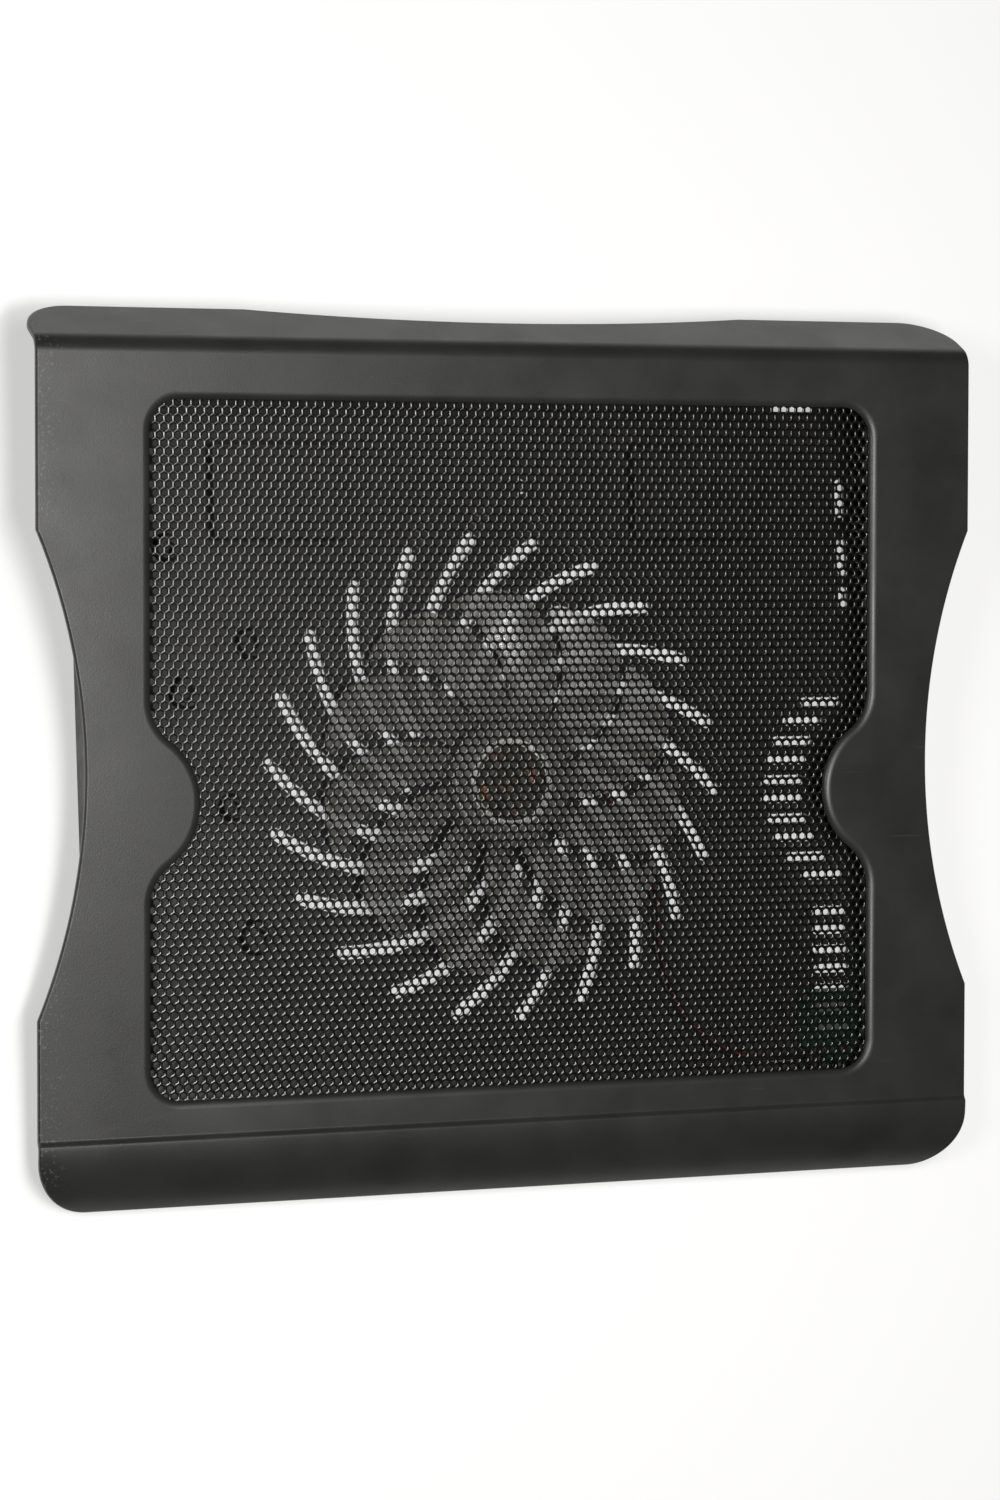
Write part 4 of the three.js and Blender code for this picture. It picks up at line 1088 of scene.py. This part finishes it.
def feet():
    """Rubber feet, each with a shallow groove round its sole."""
    radius, height, peg = FOOT["radius"], FOOT["height"], FOOT["peg"]
    profile = [(0, 0), (5.0, 0), (5.3, 0.35), (5.9, 0.35), (6.2, 0), (radius - 0.8, 0), (radius, 0.8)]
    profile += [(radius, height), (peg, height), (peg, FOOT["peg_top"]), (0, FOOT["peg_top"])]
    foot = turned(profile, 0.3, 72)
    for i, (x, y) in enumerate(FEET):
        show(f"rubber_foot_{i + 1}", shifted(foot, x, y))


def cross_cutter(low, high):
    """A four-armed taper that cuts a cross recess, wider at its low end."""
    cross = []
    for quarter in range(4):
        c, s = cos(quarter * pi / 2), sin(quarter * pi / 2)
        for x, y in ((0.35, 1.6), (0.35, 0.35), (1.6, 0.35)):
            cross.append((x * c + y * s, y * c - x * s))
    levels = ((low, 1.15), (high, 0.72))
    return loft([[(x * k, y * k, z) for x, y in reversed(cross)] for z, k in levels])


def case_screws():
    """Pan-head screws with a cross recess and a turned thread."""
    head, shank, top = SCREW["head"], SCREW["shank"], SCREW["top"]
    seat = FLOOR_TOP + 0.1
    root, pitch = shank - 0.22, 0.8
    profile = [(0, seat - 1.9), (head - 0.7, seat - 1.85), (head - 0.15, seat - 1.2), (head, seat - 0.4)]
    profile += [(head, seat), (shank, seat)]
    z = seat + 0.5
    while z < top - 1.3:
        profile += [(shank, z), (root, z + 0.3), (root, z + 0.4), (shank, z + 0.7)]
        z += pitch
    profile += [(shank, top - 1), (0, top)]
    screw = combined(lathe(profile, 40), cross_cutter(seat - 3, seat - 1), "DIFFERENCE")
    for i, (x, y) in enumerate(screw_places()):
        turn = Matrix.Rotation(radians(37 * i), 4, "Z")
        show(f"case_screw_{i + 1}", moved(screw, Matrix.Translation((x, y, 0)) @ turn))


# ---------------------------------------------------------------- legs

def leg_pin(side, past, radius, sides=40):
    """A round bar along the hinge line of one leg, with its ends chamfered."""
    half = (LEG["outer"] - LEG["inner"]) / 2 + past
    middle = side * (LEG["outer"] + LEG["inner"]) / 2
    bar = turned([(0, -half), (radius, -half), (radius, half), (0, half)], 0.3, sides)
    place = Matrix.Translation((middle, LEG["hinge_y"], LEG["hinge_z"])) @ Matrix.Rotation(pi / 2, 4, "Y")
    return moved(bar, place)


def legs():
    for side, word in ((-1, "left"), (1, "right")):
        refined(f"tilt_leg_{word}", 0.35, 3)
        refined(f"leg_tip_{word}", 0.3, 3)
        show(f"leg_pin_{word}", leg_pin(side, 1.6, POCKET["pin"]))


# ---------------------------------------------------------------- fan and motor

def at_fan(node, shape, sharp=38):
    """Shows a piece that was made round the fan's axis."""
    show(node, shifted(shape, 0, FAN_Y), sharp)


def blade_place(t, c):
    """A place t along the blade and c across it: x, y, its underside's height and its top's."""
    root = HUB["radius"] - 1
    trim = 3.2 * abs(2 * c - 1) ** 5 * t**6
    radius = root + (BLADE["tip"] - root) * t - trim
    angle = BLADE["sweep"] * t**1.4 + BLADE["chord"] * (c - 0.5) * (1 - 0.06 * t)
    full = 1.5 - 0.5 * t
    thick = full * (1 - 0.55 * abs(2 * c - 1) ** 6)
    fall = (BLADE["top"] - BLADE["bottom"] - full) * (c + 0.1 * sin(pi * c))
    low = BLADE["top"] - full - fall + (full - thick) / 2
    return radius * cos(angle), radius * sin(angle), low, low + thick


def blade():
    """A thin twisted blade with round tip corners and round edges."""
    along, across = 22, 12
    row = across + 1
    places = [blade_place(i / along, j / across) for i in range(along + 1) for j in range(row)]
    count = len(places)
    points = [(x, y, low) for x, y, low, high in places]
    points += [(x, y, high) for x, y, low, high in places]
    faces = []
    for i in range(along):
        for j in range(across):
            a, b = i * row + j, (i + 1) * row + j
            faces.append((a + count, b + count, b + 1 + count, a + 1 + count))
            faces.append((a, a + 1, b + 1, b))
    ring = list(range(across))
    ring += [i * row + across for i in range(along)]
    ring += [along * row + across - j for j in range(across)]
    ring += [(along - i) * row for i in range(along)]
    faces += [(a, a + count, b + count, b) for a, b in zip(ring, ring[1:] + ring[:1])]
    return points, faces


def fan_rotor():
    """The hub and blades, with a clearer roof over the coils and a pale bead round that roof, whose light
    colour is a painted highlight.
    """
    radius, top, bottom = HUB["radius"], HUB["top"], HUB["bottom"]
    under = top - HUB["roof"]
    dish, face = HUB_RECESS["radius"], top - HUB_RECESS["depth"]
    edge = dish - WINDOW["inset"]
    profile = [(edge, bottom), (radius, bottom), (radius, top - 2), (radius - 0.6, top - 0.6)]
    profile += [(radius - 2, top), (dish + HUB_RECESS["slope"], top), (edge, face)]
    rotor = turned_ring(profile, 0.5, 112)
    blades = [moved(blade(), Matrix.Rotation(2 * pi * k / BLADES, 4, "Z")) for k in range(BLADES)]
    rotor = combined(rotor, joined(*blades), "UNION")
    hollow = bore(0, 0, radius - HUB["wall"], bottom - 1, under, 112)
    at_fan("fan_rotor", combined(rotor, hollow, "DIFFERENCE"), sharp=42)

    hole = SHAFT["radius"] + GAP
    rim = edge - 0.05
    roof = [(hole, HUB["boss_bottom"]), (HUB["boss"], HUB["boss_bottom"]), (HUB["boss"], under)]
    roof += [(rim, under), (rim, face), (hole, face)]
    boss_cap = bore(0, 0, hole + 0.5, SHAFT["top"] + GAP, face - 0.1, 40)
    roof = combined(turned_ring(roof, 0.2, 96), boss_cap, "UNION")
    made("fan_rotor_window", shifted(roof, 0, FAN_Y), "fan", "smoke_plastic", WINDOW_PAINT)
    # A raised ring round the roof, its pale colour a painted highlight.
    half, high = WINDOW["bead"] / 2, WINDOW["bead_height"]
    bead = turned_ring(box_profile(dish - half, dish + half, face + 0.05, face + high), 0.3, 112)
    made("fan_rotor_bead", shifted(bead, 0, FAN_Y), "fan", "smoke_plastic", HIGHLIGHT_BEAD_PAINT)


def coil_turn(line, at):
    """One turn of round wire along a closed line, square to the pole at a distance along it."""
    wire, sides, count = COIL["wire"], 8, len(line)
    points, faces = [], []
    for i, (u, v) in enumerate(line):
        before, after = line[i - 1], line[(i + 1) % count]
        lean = atan2(after[1] - before[1], after[0] - before[0]) - pi / 2
        for s in range(sides):
            a = 2 * pi * s / sides
            out = wire * cos(a)
            height = COIL["middle"] + v + out * sin(lean)
            points.append((at + wire * sin(a), u + out * cos(lean), height))
        faces += band(i * sides, (i + 1) % count * sides, sides)
    return points, faces


def coil(turn):
    """Wire wound in layers round one pole's neck."""
    wire, layers = COIL["wire"], 3
    pitch = 2 * wire + 0.02
    turns = int((COIL["high"] - COIL["low"]) / pitch)
    parts = []
    for layer in range(layers):
        grow = wire + layer * pitch * 0.9
        half_w = COIL["inner_half"] + grow
        half_h = COIL["inner_height"] + grow
        line = rounded_rectangle(-half_w, half_w, -half_h, half_h, 0.7 + grow, 5)
        for k in range(turns - layer % 2):
            parts.append(coil_turn(line, COIL["low"] + wire + (k + 0.5 * (layer % 2)) * pitch))
    place = Matrix.Translation((0, FAN_Y, 0)) @ Matrix.Rotation(turn, 4, "Z")
    return moved(joined(*parts), place)


def heights(node):
    """The bottom and top of a CAD node."""
    low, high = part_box(node)
    return low.z / MM, high.z / MM


def fan_ring(node):
    """Shows a plain ring on the fan's axis, as high as its CAD node."""
    inner, outer, edge, sides = RINGS[node]
    at_fan(node, turned_ring(box_profile(inner, outer, *heights(node)), edge, sides))


def rotor_yoke():
    """The steel cup with its inturned roof."""
    outer, inner, mouth = YOKE["outer"], YOKE["inner"], YOKE["mouth"]
    low, high = heights("rotor_yoke")
    roof = high - YOKE["roof"]
    profile = [(inner, low), (outer, low), (outer, high), (mouth, high), (mouth, roof), (inner, roof)]
    at_fan("rotor_yoke", turned_ring(profile, 0.3, 112))


def fan_shaft():
    """The shaft, with a groove for its clip."""
    low, high, radius = SHAFT["bottom"], SHAFT["top"], SHAFT["radius"]
    root = radius - 0.15
    profile = [(0, low), (radius - 0.3, low), (radius, low + 0.3)]
    profile += [(radius, 6.05), (root, 6.1), (root, 6.6), (radius, 6.65), (radius, high), (0, high)]
    at_fan("fan_shaft", turned(profile, 0.15, 48))


def thrust_pad():
    low, high = heights("thrust_pad")
    profile = [(0, low), (THRUST_RADIUS, low), (THRUST_RADIUS, high), (0, high)]
    at_fan("thrust_pad", turned(profile, 0.2, 48))


def motor():
    """Everything on the fan's axis inside the hub."""
    rotor_yoke()
    fan_ring("ring_magnet")
    fan_shaft()
    fan_ring("shaft_clip")
    fan_ring("bearing_sleeve")
    thrust_pad()
    fan_ring("motor_board")
    refined("stator_core", 0.12, 1)
    for k in range(4):
        show(f"coil_{k + 1}", coil(STATOR_TURN + k * pi / 2), sharp=80)


def lead_points(side):
    """The route of one lead: along a rib of the swirl, then over to the control board."""
    spread = 0.85 * side
    start = SWIRL["phase"] + 18.5 * 2 * pi / SWIRL["slots"]
    low = FLOOR_TOP + GAP + 0.65
    points = [(17, FAN_Y - 2.4 + spread, low)]
    for radius in range(34, 85, 10):
        x, y = swirl_point(radius, start)
        ahead = swirl_point(radius + 1, start)
        length = hypot(ahead[0] - x, ahead[1] - y)
        points.append((x + spread * (y - ahead[1]) / length, y + spread * (ahead[0] - x) / length, low))
    points += [
        (66 + spread * 0.8, -90 + spread * 0.6, low),
        (86, -103.6 + spread, low),
        (98, -105 + spread, low),
        (105.5, -105 + spread, 8.4),
        (110.3, -105 + spread, 9),
    ]
    return [Vector(p) for p in points]


def smooth_line(points, steps):
    """A centripetal Catmull-Rom line through the points."""
    ends = [points[0] * 2 - points[1], *points, points[-1] * 2 - points[-2]]
    line = []
    for i in range(1, len(ends) - 2):
        p = ends[i - 1 : i + 3]
        t = [0.0]
        for a, b in zip(p, p[1:]):
            t.append(t[-1] + max((b - a).length, 1e-6) ** 0.5)
        for k in range(steps):
            u = t[1] + (t[2] - t[1]) * k / steps
            a = [p[j].lerp(p[j + 1], (u - t[j]) / (t[j + 1] - t[j])) for j in range(3)]
            b = [a[j].lerp(a[j + 1], (u - t[j]) / (t[j + 2] - t[j])) for j in range(2)]
            line.append(b[0].lerp(b[1], (u - t[1]) / (t[2] - t[1])))
    return [*line, points[-1]]


def wire_along(line, radius, sides=14):
    """A round wire along an open line of points."""
    last = len(line) - 1
    points = []
    for i, here in enumerate(line):
        along = (line[min(i + 1, last)] - line[max(i - 1, 0)]).normalized()
        across = along.cross(Vector((0, 0, 1))).normalized()
        up = across.cross(along)
        for s in range(sides):
            a = 2 * pi * s / sides
            points.append(tuple(here + across * radius * cos(a) + up * radius * sin(a)))
    faces = [tuple(range(sides))]
    for i in range(last):
        faces += band((i + 1) * sides, i * sides, sides)
    faces.append(tuple(range(last * sides, len(points)))[::-1])
    return points, faces


def leads():
    for name, side in (("lead_red", 1), ("lead_black", -1)):
        show(name, wire_along(smooth_line(lead_points(side), 10), 0.62))


# ---------------------------------------------------------------- control board

def board():
    """The board, its sockets, switch and connector as in the CAD model, and the capacitor's can."""
    refined("control_board", 0.12, 1)
    for k in (1, 2):
        refined(f"usb_shell_{k}", 0.18, 2)
        refined(f"usb_tongue_{k}", 0.12, 2)
    refined("switch_body", 0.2, 2)
    refined("switch_knob", 0.2, 3)
    refined("lead_connector", 0.25, 2)
    low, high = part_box("capacitor")
    x, y = (low.x + high.x) / 2 / MM, (low.y + high.y) / 2 / MM - SHIFT
    z0, z1, r = low.z / MM, high.z / MM, (high.x - low.x) / 2 / MM
    waist, lid = r - 0.18, z1 - 0.12
    can = [(0, z0), (r, z0), (r, z0 + 0.6), (waist, z0 + 0.8), (waist, z0 + 1), (r, z0 + 1.2)]
    can += [(r, z1), (r - 0.5, z1), (r - 0.6, lid), (0, lid)]
    show("capacitor", shifted(turned(can, 0.15, 48), x, y))


# ---------------------------------------------------------------- studio

def area_light(name, place, aim, size, power):
    """A rectangular light, placed and aimed in the deck's frame in millimetres."""
    data = bpy.data.lights.new(name, "AREA")
    data.shape = "RECTANGLE"
    data.size, data.size_y = size
    data.energy = power
    data.color = (1, 0.99, 0.965)
    light = bpy.data.objects.new(name, data)
    bpy.context.scene.collection.objects.link(light)
    light.location = deck_place(place)
    light.rotation_euler = (deck_place(aim) - deck_place(place)).to_track_quat("-Z", "Y").to_euler()


def deck_place(place):
    """A place given in the deck's frame in millimetres, in metres in the row frame."""
    return (Matrix.Translation((0, SHIFT, 0)) @ DECK @ Vector(place)) * MM


def floor():
    """A wide pale floor that glows softly."""
    reach = 6
    corners = [(-reach, -reach, 0), (reach, -reach, 0), (reach, reach, 0), (-reach, reach, 0)]
    item = bpy.data.objects.new("floor", mesh_of((corners, [(0, 1, 2, 3)]), "floor"))
    bpy.context.scene.collection.objects.link(item)
    paint = Paint("floor", (0.52, 0.52, 0.52), 0.8)
    paint.set("Base Color", paint.mixed(paint.noise(3, 2), (0.51, 0.51, 0.51), (0.53, 0.53, 0.53)))
    paint.set("Emission Color", (1, 1, 1, 1))
    paint.set("Emission Strength", 0.46)
    item.data.materials.append(paint.material)
    item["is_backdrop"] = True


def studio():
    """A light over the deck's rear, a narrow one higher up, one far to the left, and a dim sky."""
    area_light("overhead", (-60, 140, 900), (-60, 140, 0), (0.40, 0.5), 3.9)
    area_light("strip", (-150, -65, 1450), (-20, -20, 0), (0.16, 0.5), 11)
    area_light("left", (-900, 200, 900), (0, 0, 0), (0.4, 0.4), 4.5)
    world = bpy.data.worlds.new("studio")
    world.use_nodes = True
    sky = world.node_tree.nodes["Background"]
    sky.inputs["Color"].default_value = (0.9, 0.92, 0.95, 1)
    sky.inputs["Strength"].default_value = 0.035
    bpy.context.scene.world = world
    bpy.context.scene.view_settings.view_transform = "Standard"


def camera():
    """Above the pad and to its left, held in the deck's own frame, in millimetres."""
    place = Vector((-584.6, 76.3, 1397.9))
    forward = Vector((0.3809, -0.0488, -0.9233)).normalized()
    up = Vector((0.0172, 0.9988, -0.0457))
    right = forward.cross(up).normalized()
    up = right.cross(forward)
    turn = Matrix((right, up, -forward)).transposed().to_4x4()
    to_row = Matrix.Translation((0, SHIFT, 0)) @ DECK
    pose = to_row @ Matrix.Translation(place) @ turn
    pose.translation *= MM
    data = bpy.data.cameras.new("camera")
    data.sensor_width = 36
    data.lens = 109.2
    item = bpy.data.objects.new("camera", data)
    bpy.context.scene.collection.objects.link(item)
    item.matrix_world = pose
    bpy.context.scene.camera = item


floor()
studio()
camera()
top_frame()
mesh_panel()
panel_clips()
base_tray()
feet()
case_screws()
legs()
fan_rotor()
motor()
leads()
board()

VISUAL_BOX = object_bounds()
boxes = {"cad": CAD_BOX, "visual": VISUAL_BOX}
{name: [list(low), list(high)] for name, (low, high) in boxes.items()}
